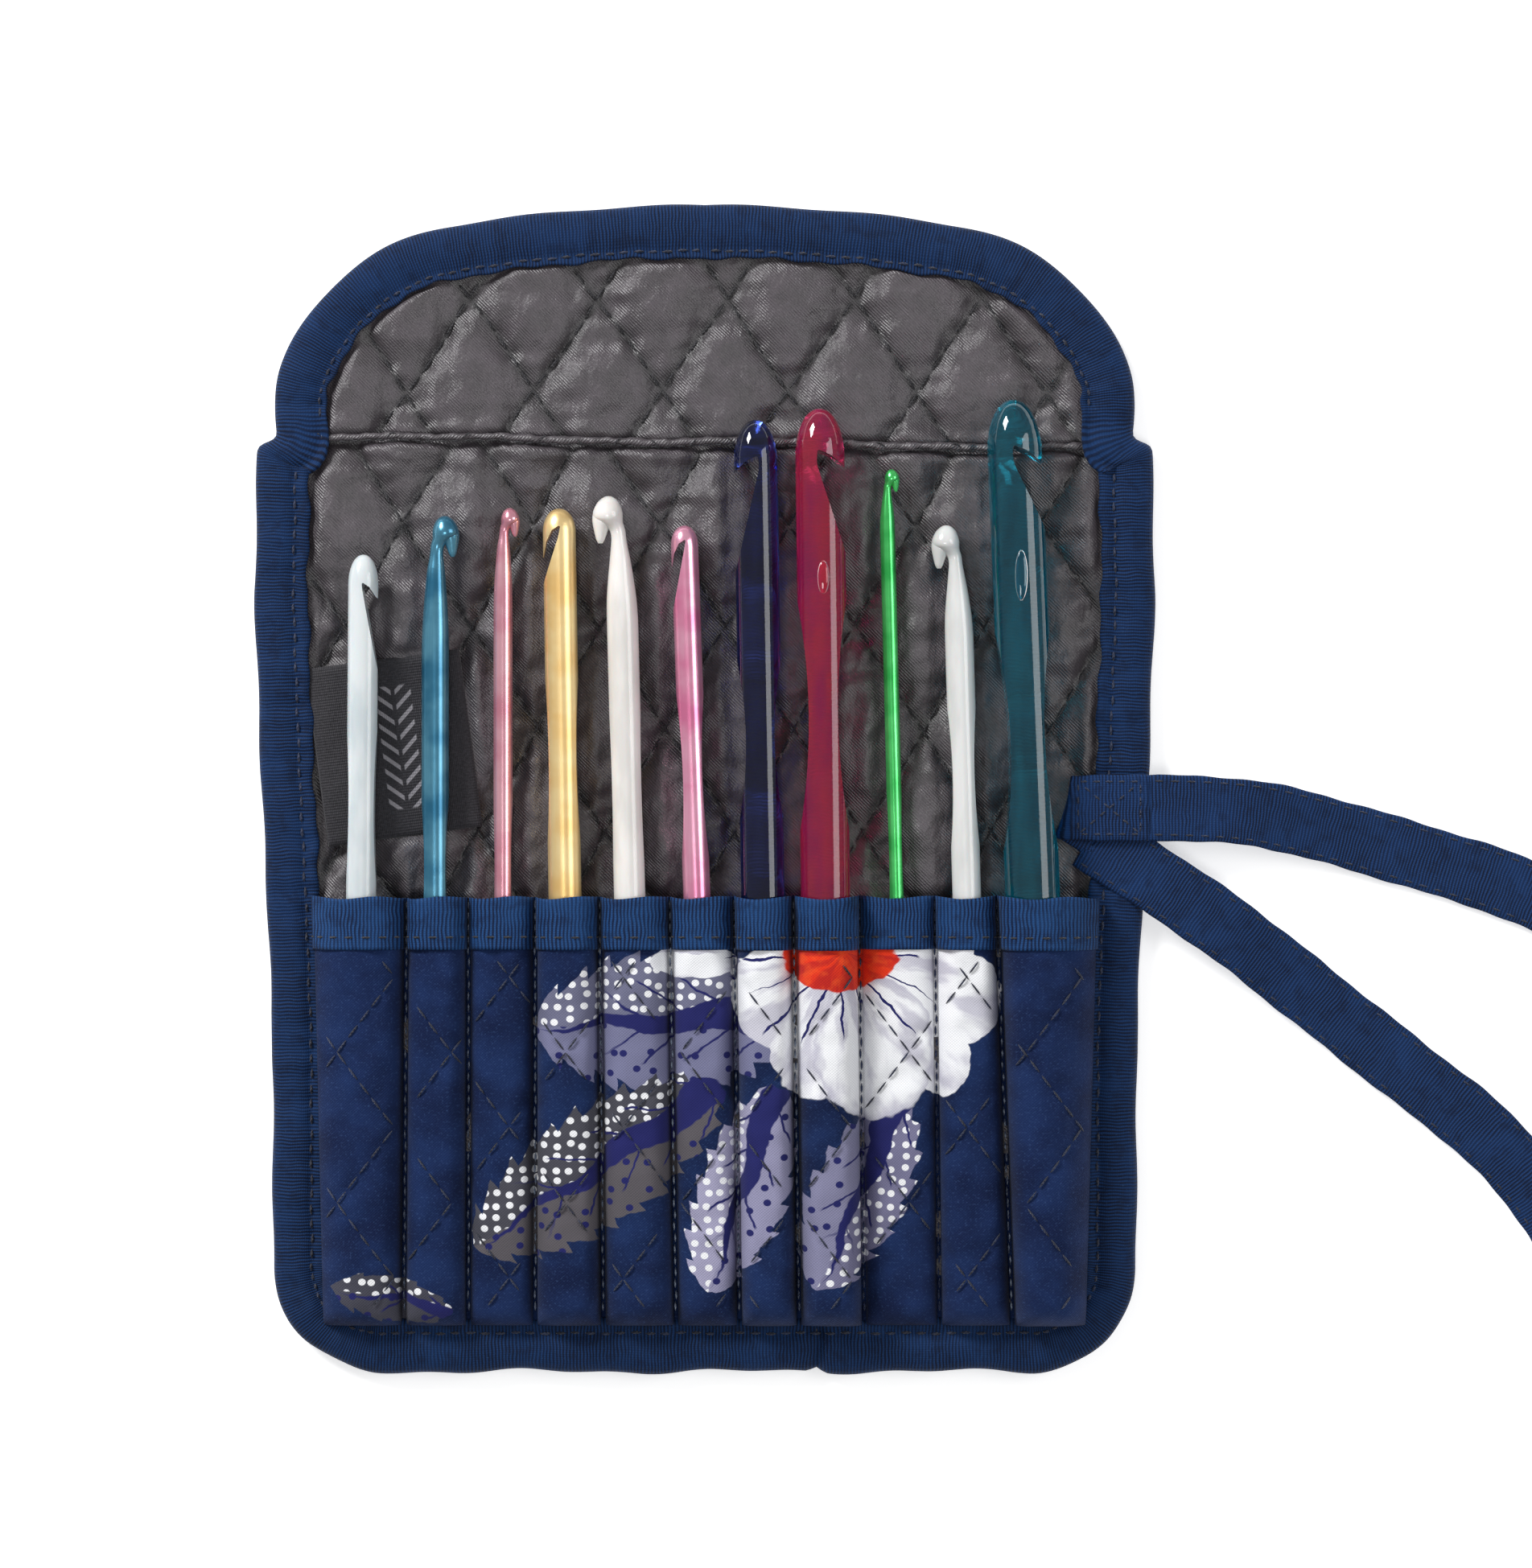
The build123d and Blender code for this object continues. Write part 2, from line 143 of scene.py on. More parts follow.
def end_caps(rows, cols):
    """The faces that close a tube's two ends: each end's row, and the ring points of its faces."""
    ids = np.array([[k, k + 1, cols - 2 - k, cols - 1 - k] for k in range(cols // 2 - 1)])
    return (0, ids[:, ::-1]), (rows - 1, ids)


def grid_quads(rows, cols, close_rows=False, close_cols=False):
    """Faces of a grid of points, and where each corner is in a UV grid that isn't wrapped."""
    r = np.arange(rows if close_rows else rows - 1)
    c = np.arange(cols if close_cols else cols - 1)
    r, c = np.meshgrid(r, c, indexing="ij")
    corners = [(r, c), (r, c + 1), (r + 1, c + 1), (r + 1, c)]
    faces = np.stack([(a % rows) * cols + b % cols for a, b in corners], -1).reshape(-1, 4)
    places = np.stack([np.stack([a, b], -1) for a, b in corners], -2).reshape(-1, 4, 2)
    return faces, places


def tube_mesh(name, points, uv, material, close_rows=False):
    """points[row, ring] with closed rings; uv has one more ring corner, and one more row if the rows close."""
    rows, cols = points.shape[:2]
    faces, places = grid_quads(rows, cols, close_rows, True)
    corner_uv = uv[places[..., 0], places[..., 1]]
    flat = points.reshape(-1, 3)
    if not close_rows:
        for row, ids in end_caps(rows, cols):
            faces = np.concatenate([faces, ids + row * cols])
            corner_uv = np.concatenate([corner_uv, uv[row, ids]])
    return make_mesh(name, flat, faces, corner_uv, material)


def shell_mesh(name, top, under, uv, material):
    """A closed sheet between two grids of points, top and under, joined round the rim."""
    rows, cols = top.shape[:2]
    faces, places = grid_quads(rows, cols)
    upper_uv = uv[places[..., 0], places[..., 1]]
    n = rows * cols
    rim = [(0, c) for c in range(cols)] + [(r, cols - 1) for r in range(1, rows)]
    rim += [(rows - 1, c) for c in range(cols - 2, -1, -1)] + [(r, 0) for r in range(rows - 2, 0, -1)]
    rim = np.array(rim)
    ids = rim[:, 0] * cols + rim[:, 1]
    after = np.roll(ids, -1)
    walls = np.stack([ids, ids + n, after + n, after], -1)
    flat_uv = uv.reshape(-1, 2)
    wall_uv = np.stack([flat_uv[ids], flat_uv[ids], flat_uv[after], flat_uv[after]], 1)
    flip = [3, 2, 1, 0]
    faces = np.concatenate([faces[:, flip], faces + n, walls[:, flip]])
    corner_uv = np.concatenate([upper_uv[:, flip], upper_uv, wall_uv[:, flip]])
    return make_mesh(name, np.concatenate([top.reshape(-1, 3), under.reshape(-1, 3)]), faces, corner_uv, material)


def strand_mesh(name, runs, radius, material, sides=6, flatten=1.0, blunt=6):
    """Many short threads as one mesh, each a tapered tube along its run of points."""
    points, faces, uvs, start = [], [], [], 0
    turn = np.arange(sides) / sides * 2 * np.pi
    for run in runs:
        run = np.asarray(run, float)
        way = np.gradient(run, axis=0)
        way /= np.linalg.norm(way, axis=1)[:, None]
        side = np.cross(way, (0, 0, 1.0))
        side /= np.linalg.norm(side, axis=1)[:, None] + 1e-9
        up = np.cross(side, way)
        along = np.linspace(-1, 1, len(run))
        width = radius * np.sqrt(np.clip(1 - along**blunt, 0.06, 1))
        ring = (
            run[:, None]
            + side[:, None] * (np.cos(turn)[:, None] * width[:, None, None])
            + up[:, None] * (np.sin(turn)[:, None] * flatten * width[:, None, None])
        )
        quads, places = grid_quads(len(run), sides, False, True)
        reach = reach_along(run)[:, None] + run[0, 0]
        uv = np.stack(np.broadcast_arrays(reach, np.arange(sides + 1)[None] * 0.3), -1)
        corner_uv = uv[places[..., 0], places[..., 1]]
        for row, ids in end_caps(len(run), sides):
            quads = np.concatenate([quads, ids + row * sides])
            corner_uv = np.concatenate([corner_uv, np.broadcast_to(uv[0, 0], (len(ids), 4, 2))])
        points.append(ring.reshape(-1, 3))
        faces.append(quads + start)
        uvs.append(corner_uv)
        start += len(run) * sides
    return make_mesh(name, np.concatenate(points), np.concatenate(faces), np.concatenate(uvs), material)


def ripple(x, y, wave, seed, count=14):
    """Smooth irregular waves of about this wavelength, from -1 to 1, the same every run."""
    rng = np.random.default_rng(seed)
    total = np.zeros(np.broadcast(x, y).shape)
    for _ in range(count):
        turn, size, shift = rng.uniform(0, 2 * np.pi), rng.uniform(0.7, 1.5), rng.uniform(0, 2 * np.pi)
        k = 2 * np.pi / (wave * size)
        total = total + np.sin(k * (x * np.cos(turn) + y * np.sin(turn)) + shift)
    return np.clip(total / (0.9 * count**0.5), -1.4, 1.4) / 1.4


def step(low, high, value):
    t = np.clip((value - low) / (high - low), 0, 1)
    return t * t * (3 - 2 * t)


# ---- the case's outline and surfaces ----

EDGE_Y = (BOTTOM_Y, -80, -46, -21, 3, 35, FOLD_Y)
EDGE_SHIFT = (0.0, -0.5, -1.1, -0.6, 0.1, 0.6, -0.5)
FLAP_HALF = CASE_WIDTH / 2 - FLAP_INSET
FLAP_MIDDLE = FLAP_HALF - FLAP_CORNER
FLAP_RISE = FLAP_CORNER + FLAP_CROWN
CROWN_RADIUS = (FLAP_MIDDLE**2 + FLAP_RISE**2 - FLAP_CORNER**2) / (2 * FLAP_CROWN)


def side_x(y):
    """Half the body's width at y, with the cloth edge's slight waves."""
    plain = CASE_WIDTH / 2 - CASE_TAPER * (FOLD_Y - y) / BODY_LENGTH
    return plain + np.interp(y, EDGE_Y, EDGE_SHIFT)


def half_width(y, inset):
    """Half the case's width at y, drawn in by inset, body and flap."""
    y = np.asarray(y, float)
    radius = CORNER_RADIUS - inset
    into = np.clip(BOTTOM_Y + CORNER_RADIUS - y, 0, radius)
    body = side_x(y) - CORNER_RADIUS + np.sqrt(radius**2 - into**2)
    rise = np.clip(y - FOLD_Y, 0, None)
    corner = np.sqrt(np.clip((FLAP_CORNER - inset) ** 2 - rise**2, 0, None)) + FLAP_MIDDLE
    crown_r = CROWN_RADIUS - inset
    crown = np.sqrt(np.clip(crown_r**2 - (rise - FLAP_RISE + CROWN_RADIUS) ** 2, 0, None))
    flap = np.minimum(corner, np.where(rise > (FLAP_CORNER - inset) * 0.97, crown, 1e3))
    share = step(FOLD_Y - 1, FOLD_Y + 1, y)
    return body * (1 - share) + flap * share


def channel_at(y):
    """Channel lines and hook middles at y."""
    share = (np.asarray(y, float) - PANEL_BOTTOM_Y) / (MOUTH_Y - PANEL_BOTTOM_Y)
    lines = [h[2] + (h[1] - h[2]) * share for h in HOOKS] + [LAST_LINE[1] + (LAST_LINE[0] - LAST_LINE[1]) * share]
    middles = [h[4] + (h[3] - h[4]) * share for h in HOOKS]
    return lines, middles


QUILT_PITCH = 23.45
FLAP_NODE, FLAP_ROWS = (-43.0, 90.0), 34.4
BODY_NODE, BODY_ROWS, BODY_SKEW = (-55.2, 48.5), 37.7, 0.035


def seam_y(x):
    """The stitched tuck beside the fold, not quite square to the case."""
    return 63.0 - 0.0165 * x + 0.25 * np.sin(x * 0.11) + 0.15 * np.sin(x * 0.31 + 1)


def quilt_phases(x, y):
    """The two families of quilting lines: each line is where its phase is a whole number."""
    flap = y > seam_y(x)
    node_x = np.where(flap, FLAP_NODE[0], BODY_NODE[0] + BODY_SKEW * (BODY_NODE[1] - y))
    node_y = np.where(flap, FLAP_NODE[1], BODY_NODE[1])
    rows = np.where(flap, FLAP_ROWS, BODY_ROWS)
    across, up = (x - node_x) / QUILT_PITCH, (y - node_y) / rows
    return across + up, across - up


def quilt_sway(x, y):
    """How far the sewn quilting lines wander, across and up."""
    return 0.5 * ripple(x, y, 30, 3), 0.5 * ripple(x, y, 26, 4)


def quilt_puff(x, y, power=0.36):
    """0 on the quilting lines, 1 in the middle of a diamond."""
    across, up = quilt_sway(x, y)
    a, b = quilt_phases(x + across, y + up)
    swell = np.abs(np.sin(np.pi * a)) * np.abs(np.sin(np.pi * b))
    return ((swell + 0.035) ** power - 0.035**power) / (1.035**power - 0.035**power)


# The lining's height on a quilting line, in a diamond, and at most under a hook.
VALLEY_Z, PEAK_Z, CLEAR_Z = 1.9, 4.6, 4.7
LABEL_SIZE, LABEL_TURN, LABEL_UP, LABEL_IN = (28.6, 32.8), np.radians(7.5), 27.3, 14.6
LABEL_Y = MOUTH_Y + LABEL_UP
LABEL_X = BINDING_WIDTH - (CASE_WIDTH / 2 - CASE_TAPER * (FOLD_Y - LABEL_Y) / BODY_LENGTH) + LABEL_IN


def under_label(x, y):
    """1 where the label holds the lining down, 0 past its edges."""
    dx, dy = x - LABEL_X, y - LABEL_Y
    u = np.abs(dx * np.cos(LABEL_TURN) + dy * np.sin(LABEL_TURN)) - LABEL_SIZE[0] / 2
    v = np.abs(dy * np.cos(LABEL_TURN) - dx * np.sin(LABEL_TURN)) - LABEL_SIZE[1] / 2
    return step(2.2, 0.6, np.maximum(u, v))


def lining_z(x, y):
    """Height of the quilted satin: diamonds, gathers and the tuck, low enough for a hook to slide over."""
    puff = quilt_puff(x, y)
    z = VALLEY_Z + (PEAK_Z - VALLEY_Z) * puff
    gathers = 0.34 * ripple(x, y * 0.55, 4.2, 7) + 0.26 * ripple(x * 0.5, y, 3.6, 9)
    z = z + gathers * (0.3 + 1.1 * (1 - puff)) + 0.35 * ripple(x, y, 9, 5) - 0.15
    _, middles = channel_at(y)
    clear = np.min([np.abs(x - m) - h[0] / 2 for m, h in zip(middles, HOOKS)], axis=0)
    between = step(0.6, 3.4, clear) * (y < FOLD_Y - 2) * step(0, 6, y - MOUTH_Y + 4) * (1 - under_label(x, y))
    z = z + between * (0.7 * puff + 0.35 * ripple(x, y, 5, 15))
    tuck = (y - seam_y(x)) / 0.8
    z = z - 2.2 * np.exp(-(tuck**2)) + 0.5 * np.exp(-(((np.abs(tuck) - 2.6) / 1.4) ** 2))
    top = CLEAR_Z + 1.3 * between - 0.8 * under_label(x, y)
    z = top - np.log1p(np.exp((top - z) * 6)) / 6
    covered = half_width(y, BINDING_WIDTH) - np.abs(x)
    low = BOTTOM_Y + BINDING_WIDTH
    covered = np.minimum(covered, np.minimum(y - low, TOP_Y - BINDING_WIDTH - y + 0 * x))
    hidden = step(-0.2, 2.4, covered)
    return 2.9 * (1 - hidden) + np.maximum(z, 1.65) * hidden


def quilt_rows(inset, pitch):
    """Y of the rows of a quilted sheet, closer together at the round ends."""
    low, high = BOTTOM_Y + inset, TOP_Y - inset
    count = int((high - low) / pitch)
    t = np.linspace(0, 1, count)
    y = low + (high - low) * t
    ends = 1.2
    squeeze = np.where(t < 0.5, t, 1 - t) * (high - low)
    drawn = np.where(squeeze < ends, squeeze**2 / ends - squeeze, 0)
    return y + np.where(t < 0.5, drawn, -drawn)


def quilt_sheet(name, material, inset, pitch, height, back, flip=False):
    """One face of the quilt, following the outline, closed by a flat back inside the case."""
    y = quilt_rows(inset, pitch)
    half = np.maximum(half_width(y, inset), 2.0)
    s = np.linspace(-1, 1, int(2 * half.max() / pitch))
    x = half[:, None] * s[None]
    yy = np.broadcast_to(y[:, None], x.shape)
    z = height(x, yy)
    face = np.stack([x, yy, z], -1)
    inner = np.stack([x, yy, np.full_like(x, back)], -1)
    uv = np.stack([x, yy], -1)
    return shell_mesh(name, *((inner, face) if flip else (face, inner)), uv, material)


def seam_shade(x, y):
    """1 on a quilting line, fading to 0 beside it."""
    across, up = quilt_sway(x, y)
    a, b = quilt_phases(x + across, y + up)
    away = np.minimum(np.abs(a - np.round(a)), np.abs(b - np.round(b))) * 19.5
    return np.exp(-((away / 0.8) ** 2)) + 0.35 * np.exp(-((away / 2.4) ** 2))


def shade_points(piece):
    """Keeps the quilting lines' shade on the mesh, where its material reads it."""
    spots = np.array([v.co[:2] for v in piece.data.vertices]) * 1000
    values = seam_shade(spots[:, 0], spots[:, 1])
    layer = piece.data.attributes.new("seam_shade", "FLOAT", "POINT")
    layer.data.foreach_set("value", values.astype(np.float32))


def outer_z(x, y):
    """Height of the case's underside: the same diamonds, resting on the table."""
    puff = quilt_puff(x, y, 0.45)
    return 1.1 - 1.05 * puff + 0.05 * ripple(x, y, 8, 21)


# ---- node helpers ----


class Num:
    """A number in a material's nodes, so that a pattern is written as arithmetic."""

    def __init__(self, tree, socket):
        self.tree, self.socket = tree, socket

    def _math(self, kind, *others):
        node = self.tree.nodes.new("ShaderNodeMath")
        node.operation = kind
        for place, value in zip(node.inputs, (self, *others)):
            if isinstance(value, Num):
                self.tree.links.new(value.socket, place)
            else:
                place.default_value = value
        return Num(self.tree, node.outputs[0])

    def __add__(self, o):
        return self._math("ADD", o)

    def __sub__(self, o):
        return self._math("SUBTRACT", o)

    def __rsub__(self, o):
        return (self * -1) + o

    def __mul__(self, o):
        return self._math("MULTIPLY", o)

    def __truediv__(self, o):
        return self._math("DIVIDE", o)

    __radd__, __rmul__ = __add__, __mul__

    def power(self, o):
        return self._math("POWER", o)

    def most(self, o):
        return self._math("MAXIMUM", o)

    def size(self):
        return self._math("ABSOLUTE")

    def sine(self):
        return self._math("SINE")

    def fraction(self):
        return self._math("FRACT")

    def turn_to(self, o):
        return self._math("ARCTAN2", o)

    def ramp(self, low, high):
        node = self.tree.nodes.new("ShaderNodeMapRange")
        node.interpolation_type = "SMOOTHSTEP"
        self.tree.links.new(self.socket, node.inputs["Value"])
        node.inputs["From Min"].default_value, node.inputs["From Max"].default_value = low, high
        return Num(self.tree, node.outputs["Result"])


def srgb(*rgb):
    """Linear colour with alpha from 0-255 sRGB."""
    c = np.array(rgb, float) / 255
    return tuple(np.where(c <= 0.04045, c / 12.92, ((c + 0.055) / 1.055) ** 2.4)) + (1.0,)


class Look:
    """A procedural material: its coordinates in millimetres, textures and mixes, ending in one Principled shader."""

    def __init__(self, name, mapped=True, **values):
        self.material = bpy.data.materials.new(name)
        self.material.use_nodes = True
        self.tree = self.material.node_tree
        self.shader = self.tree.nodes["Principled BSDF"]
        for key, value in values.items():
            self.shader.inputs[key.replace("_", " ")].default_value = value
        coordinates = self.tree.nodes.new("ShaderNodeTexCoord")
        self.place = coordinates.outputs["UV" if mapped else "Object"]
        split = self.tree.nodes.new("ShaderNodeSeparateXYZ")
        self.tree.links.new(self.place, split.inputs[0])
        scale = 1.0 if mapped else 1000.0
        self.x, self.y, self.z = [Num(self.tree, split.outputs[i]) * scale for i in range(3)]

    def at(self, x, y, z=0.0):
        node = self.tree.nodes.new("ShaderNodeCombineXYZ")
        for place, value in zip(node.inputs, (x, y, z)):
            if isinstance(value, Num):
                self.tree.links.new(value.socket, place)
            else:
                place.default_value = value
        return node.outputs[0]

    def kept(self, name):
        """A value kept on the mesh's points."""
        node = self.tree.nodes.new("ShaderNodeAttribute")
        node.attribute_name = name
        return Num(self.tree, node.outputs["Fac"])

    def wave(self, value, pitch):
        """Waves from 0 to 1, one for each pitch."""
        return (value * (TURN / pitch)).sine() * 0.5 + 0.5

    def weave(self):
        """A plain weave's threads over and under each other."""
        return (self.x * (TURN / 0.5)).sine() * (self.y * (TURN / 0.5)).sine() * 0.5 + 0.5

    def noise(self, scale, detail=2.0, where=None):
        node = self.tree.nodes.new("ShaderNodeTexNoise")
        self.tree.links.new(where or self.at(self.x, self.y, self.z), node.inputs["Vector"])
        node.inputs["Scale"].default_value = scale
        node.inputs["Detail"].default_value = detail
        return Num(self.tree, node.outputs[0])

    def cells(self, scale, where=None, random=1.0):
        node = self.tree.nodes.new("ShaderNodeTexVoronoi")
        self.tree.links.new(where or self.at(self.x, self.y, self.z), node.inputs["Vector"])
        node.inputs["Scale"].default_value = scale
        node.voronoi_dimensions = "2D"
        node.inputs["Randomness"].default_value = random
        return Num(self.tree, node.outputs["Distance"])

    def mix(self, share, a, b):
        """Colour a where share is 0, colour b where it is 1."""
        node = self.tree.nodes.new("ShaderNodeMix")
        node.data_type = "RGBA"
        links = self.tree.links
        if isinstance(share, Num):
            links.new(share.socket, node.inputs[0])
        else:
            node.inputs[0].default_value = share
        for place, value in ((node.inputs[6], a), (node.inputs[7], b)):
            if isinstance(value, tuple):
                place.default_value = value
            else:
                links.new(value, place)
        return node.outputs[2]

    def finish(self, colour, bump=None, depth=0.1, rough=None):
        """bump is a height from 0 to 1, and depth its size in millimetres."""
        self.tree.links.new(colour, self.shader.inputs["Base Color"])
        if bump is not None:
            node = self.tree.nodes.new("ShaderNodeBump")
            node.inputs["Strength"].default_value = 1.0
            node.inputs["Distance"].default_value = depth / 1000
            self.tree.links.new(bump.socket, node.inputs["Height"])
            self.tree.links.new(node.outputs[0], self.shader.inputs["Normal"])
        if rough is not None:
            self.tree.links.new(rough.socket, self.shader.inputs["Roughness"])
        return self.material


# ---- cloth materials ----


def satin():
    """The lining: fine twill, darker along its quilting."""
    look = Look("lining_satin", Sheen_Weight=0.1, Sheen_Roughness=0.4, Specular_IOR_Level=1.0)
    twill = look.wave(look.x + look.y, 0.62)
    mottled = look.noise(0.22, 3.0)
    fine = look.noise(2.6, 2.0)
    colour = look.mix(mottled.ramp(0.3, 0.7), srgb(48, 42, 47), srgb(68, 60, 67))
    colour = look.mix(twill * 0.3, colour, srgb(96, 90, 94))
    colour = look.mix(fine.ramp(0.35, 0.75) * 0.35, colour, srgb(44, 39, 45))
    colour = look.mix(look.kept("seam_shade") * 0.62, colour, srgb(16, 14, 17))
    crinkle = look.noise(0.55, 3.0, look.at(look.x, look.y * 0.6))
    return look.finish(colour, twill * 0.2 + fine * 0.3 + crinkle * 1.3, 0.3, fine * 0.2 + 0.37)


def ribbed(name, dark, light, pitch=0.62, depth=0.09, rough=0.72):
    """Grosgrain: ribs across the tape, each rib a row of small threads."""
    look = Look(name, Sheen_Weight=0.04, Sheen_Roughness=0.45, Specular_IOR_Level=0.18)
    sway = look.noise(0.25, 1.0) * 0.8
    rib = look.wave(look.x + sway, pitch)
    thread = look.wave(look.y + rib * 0.1, 0.42)
    wear = look.noise(0.12, 3.0)
    speck = look.noise(3.0, 1.0)
    colour = look.mix(rib.ramp(0.1, 0.85), dark, light)
    colour = look.mix(thread * 0.3, colour, dark)
    colour = look.mix(wear.ramp(0.4, 0.75) * 0.4, colour, light)
    colour = look.mix(look.noise(0.35, 3.0).ramp(0.5, 0.3) * 0.45, colour, dark)
    colour = look.mix(speck.ramp(0.62, 0.8) * 0.25, colour, srgb(70, 100, 140))
    return look.finish(colour, rib * 0.8 + thread * 0.35, depth, speck * 0.2 + rough - 0.1)


def thread_look(name, dark, light):
    """Twisted sewing thread."""
    look = Look(name, Roughness=0.6, Sheen_Weight=0.2)
    ply = ((look.x + look.y * 0.8) * 9.0).sine() * 0.5 + 0.5
    patch = look.noise(0.5, 2.0)
    colour = look.mix(patch.ramp(0.4, 0.7), dark, light)
    return look.finish(look.mix(ply * 0.4, colour, dark), ply, 0.08)


def plain_cotton(name, dark, light):
    """The navy back cloth."""
    look = Look(name, Roughness=0.85, Sheen_Weight=0.1, Sheen_Roughness=0.5, Specular_IOR_Level=0.25)
    weave = look.weave()
    worn = look.noise(0.16, 4.0)
    fuzz = look.noise(2.2, 2.0)
    colour = look.mix(worn.ramp(0.35, 0.7), dark, light)
    colour = look.mix(fuzz.ramp(0.5, 0.8) * 0.4, colour, srgb(52, 80, 128))
    colour = look.mix(look.kept("seam_shade") * 0.4, colour, srgb(8, 14, 34))
    return look.finish(colour, weave * 0.7 + fuzz * 0.5, 0.08)


def ellipse(x, y, cx, cy, rx, ry):
    """Below 1 inside the ellipse."""
    return (((x - cx) / rx).power(2.0) + ((y - cy) / ry).power(2.0)).power(0.5)


def printed_cotton():
    """Navy cotton with a generic flower and dotted leaves, in flat cloth coordinates."""
    look = Look("printed_cotton", Roughness=0.88, Sheen_Weight=0.04, Sheen_Roughness=0.5, Specular_IOR_Level=0.15)
    wander = look.noise(0.3, 2.0) - 0.5
    other = look.noise(0.3, 2.0, look.at(look.x + 90.0, look.y)) - 0.5
    x, y = look.x + wander * 1.6, look.y + other * 1.6
    worn, fuzz = look.noise(0.13, 4.0), look.noise(2.4, 2.0)
    base = look.mix(worn.ramp(0.3, 0.7), srgb(11, 26, 62), srgb(23, 44, 88))
    base = look.mix(fuzz.ramp(0.52, 0.8) * 0.4, base, srgb(62, 88, 135))
    indigo, white = srgb(36, 38, 98), srgb(246, 247, 250)
    spots = look.cells(1 / 2.25, random=0.42)
    dark_spots = look.cells(1 / 4.1, look.at(look.x + 31.0, look.y), random=0.7)

    def leaf(colour, ends, half, pale, shade, upper_dots=1):
        """A serrated leaf from ends[0] to ends[1], white dots on one half and dark dots on the other."""
        (ax, ay), (bx, by) = ends
        length = ((bx - ax) ** 2 + (by - ay) ** 2) ** 0.5
        ux, uy = (bx - ax) / length, (by - ay) / length
        px, py = x - ax, y - ay
        along = px * ux + py * uy
        across = px * -uy + py * ux
        s = along / length
        body = (s * (1.0 - s) * 4.0).most(0.0).power(0.6) * half
        teeth = ((along * 0.2).fraction() - 0.5) * (half * 0.2)
        inside = (body + teeth - across.size()).ramp(0.0, 0.25)
        inside = inside * s.ramp(0.0, 0.01) * (1.0 - s).ramp(0.0, 0.01)
        upper = (across * float(upper_dots)).ramp(-0.15, 0.15)
        cloth = look.mix(upper, shade, pale)
        dotted = look.mix((0.3 - spots).ramp(0.0, 0.05), cloth, white)
        freckled = look.mix((0.17 - dark_spots).ramp(0.0, 0.04), cloth, indigo)
        cloth = look.mix(upper, freckled, dotted)
        vein = (s * (half * 0.34) - (across + (along * 0.33).sine() * 0.8).size()).ramp(0.0, 0.3)
        side_rib = ((along * 0.12 + across.size() * 0.16).fraction() - 0.5).size()
        ribs = (0.06 - side_rib).ramp(0.0, 0.04) * (half * 0.62 - across.size()).ramp(0.0, 0.6)
        ribs = ribs * s.ramp(0.2, 0.35)
        cloth = look.mix(vein.most(ribs), cloth, indigo)
        return look.mix(inside, colour, cloth)

    colour = base
    colour = leaf(colour, ((-31, -43.5), (19, -41)), 12.5, srgb(112, 113, 138), srgb(120, 121, 152))
    colour = leaf(colour, ((-42, -84), (3, -54)), 10.5, srgb(76, 76, 84), srgb(92, 88, 92))
    colour = leaf(colour, ((-67.5, -90.5), (-46, -95.5)), 4.2, srgb(72, 72, 82), srgb(72, 72, 82))
    colour = leaf(colour, ((0.5, -92), (13.5, -54)), 8.0, srgb(165, 162, 190), srgb(150, 148, 178))
    colour = leaf(colour, ((20.5, -91), (36, -56)), 8.6, srgb(122, 120, 150), srgb(132, 131, 160), -1)

    petals = [
        (13.2, -37.5, 8.2, 9.6),
        (19.0, -46.0, 7.4, 10.6),
        (31.0, -47.5, 11.0, 13.2),
        (43.0, -49.0, 5.4, 7.4),
        (46.0, -38.2, 8.2, 8.8),
        (26.0, -33.0, 17.0, 8.0),
        (43.0, -30.0, 6.0, 5.0),
        (-2.0, -31.5, 8.0, 3.2),
    ]
    edge = (look.noise(0.34, 1.0, look.at(look.x, look.y + 60.0)) - 0.5) * 0.16
    inside = [(1.0 - (ellipse(x, y, *p) + edge)).ramp(0.0, 0.04) for p in petals]
    flower = inside[0]
    for other_petal in inside[1:]:
        flower = flower.most(other_petal)
    dx, dy = x - 24.5, y + 30.0
    turn, reach = dy.turn_to(dx), (dx * dx + dy * dy).power(0.5)
    streak = look.noise(1.0, 3.0, look.at(turn * 4.0, reach * 0.07, 2.0))
    seam = inside[2] * (1.0 - (ellipse(x, y, *petals[2]) + edge)).ramp(0.14, 0.02)
    shade = streak.ramp(0.46, 0.6) * 0.85
    petal = look.mix(shade, white, srgb(196, 194, 208))
    petal = look.mix(seam * 0.7, petal, srgb(190, 188, 204))
    colour = look.mix(flower, colour, petal)
    line = ((turn * 8.3 + reach * 0.03).sine()).size()
    long_vein = look.noise(2.6, 0.0, look.at(turn * 2.7, 5.0)).ramp(0.25, 0.75) * 16.0 + 6.5
    veins = (0.05 + (reach + 1.0).power(-1.0) * 1.5 - line).ramp(0.0, 0.03) * (long_vein - reach).ramp(0.0, 1.0)
    colour = look.mix(veins * flower, colour, indigo)
    heart = (1.0 - (ellipse(x, y, 24.5, -30.0, 11.0, 7.0) + edge * 1.5)).ramp(0.0, 0.05)
    red = look.mix(streak.ramp(0.4, 0.6), srgb(236, 58, 24), srgb(196, 40, 28))
    red = look.mix(look.noise(0.5, 2.0).ramp(0.45, 0.7) * 0.5, red, srgb(248, 92, 38))
    colour = look.mix(heart, colour, red)
    weave = look.weave()
    colour = look.mix(weave * 0.22, colour, srgb(20, 26, 52))
    return look.finish(colour, weave * 0.7 + fuzz * 0.5, 0.08)


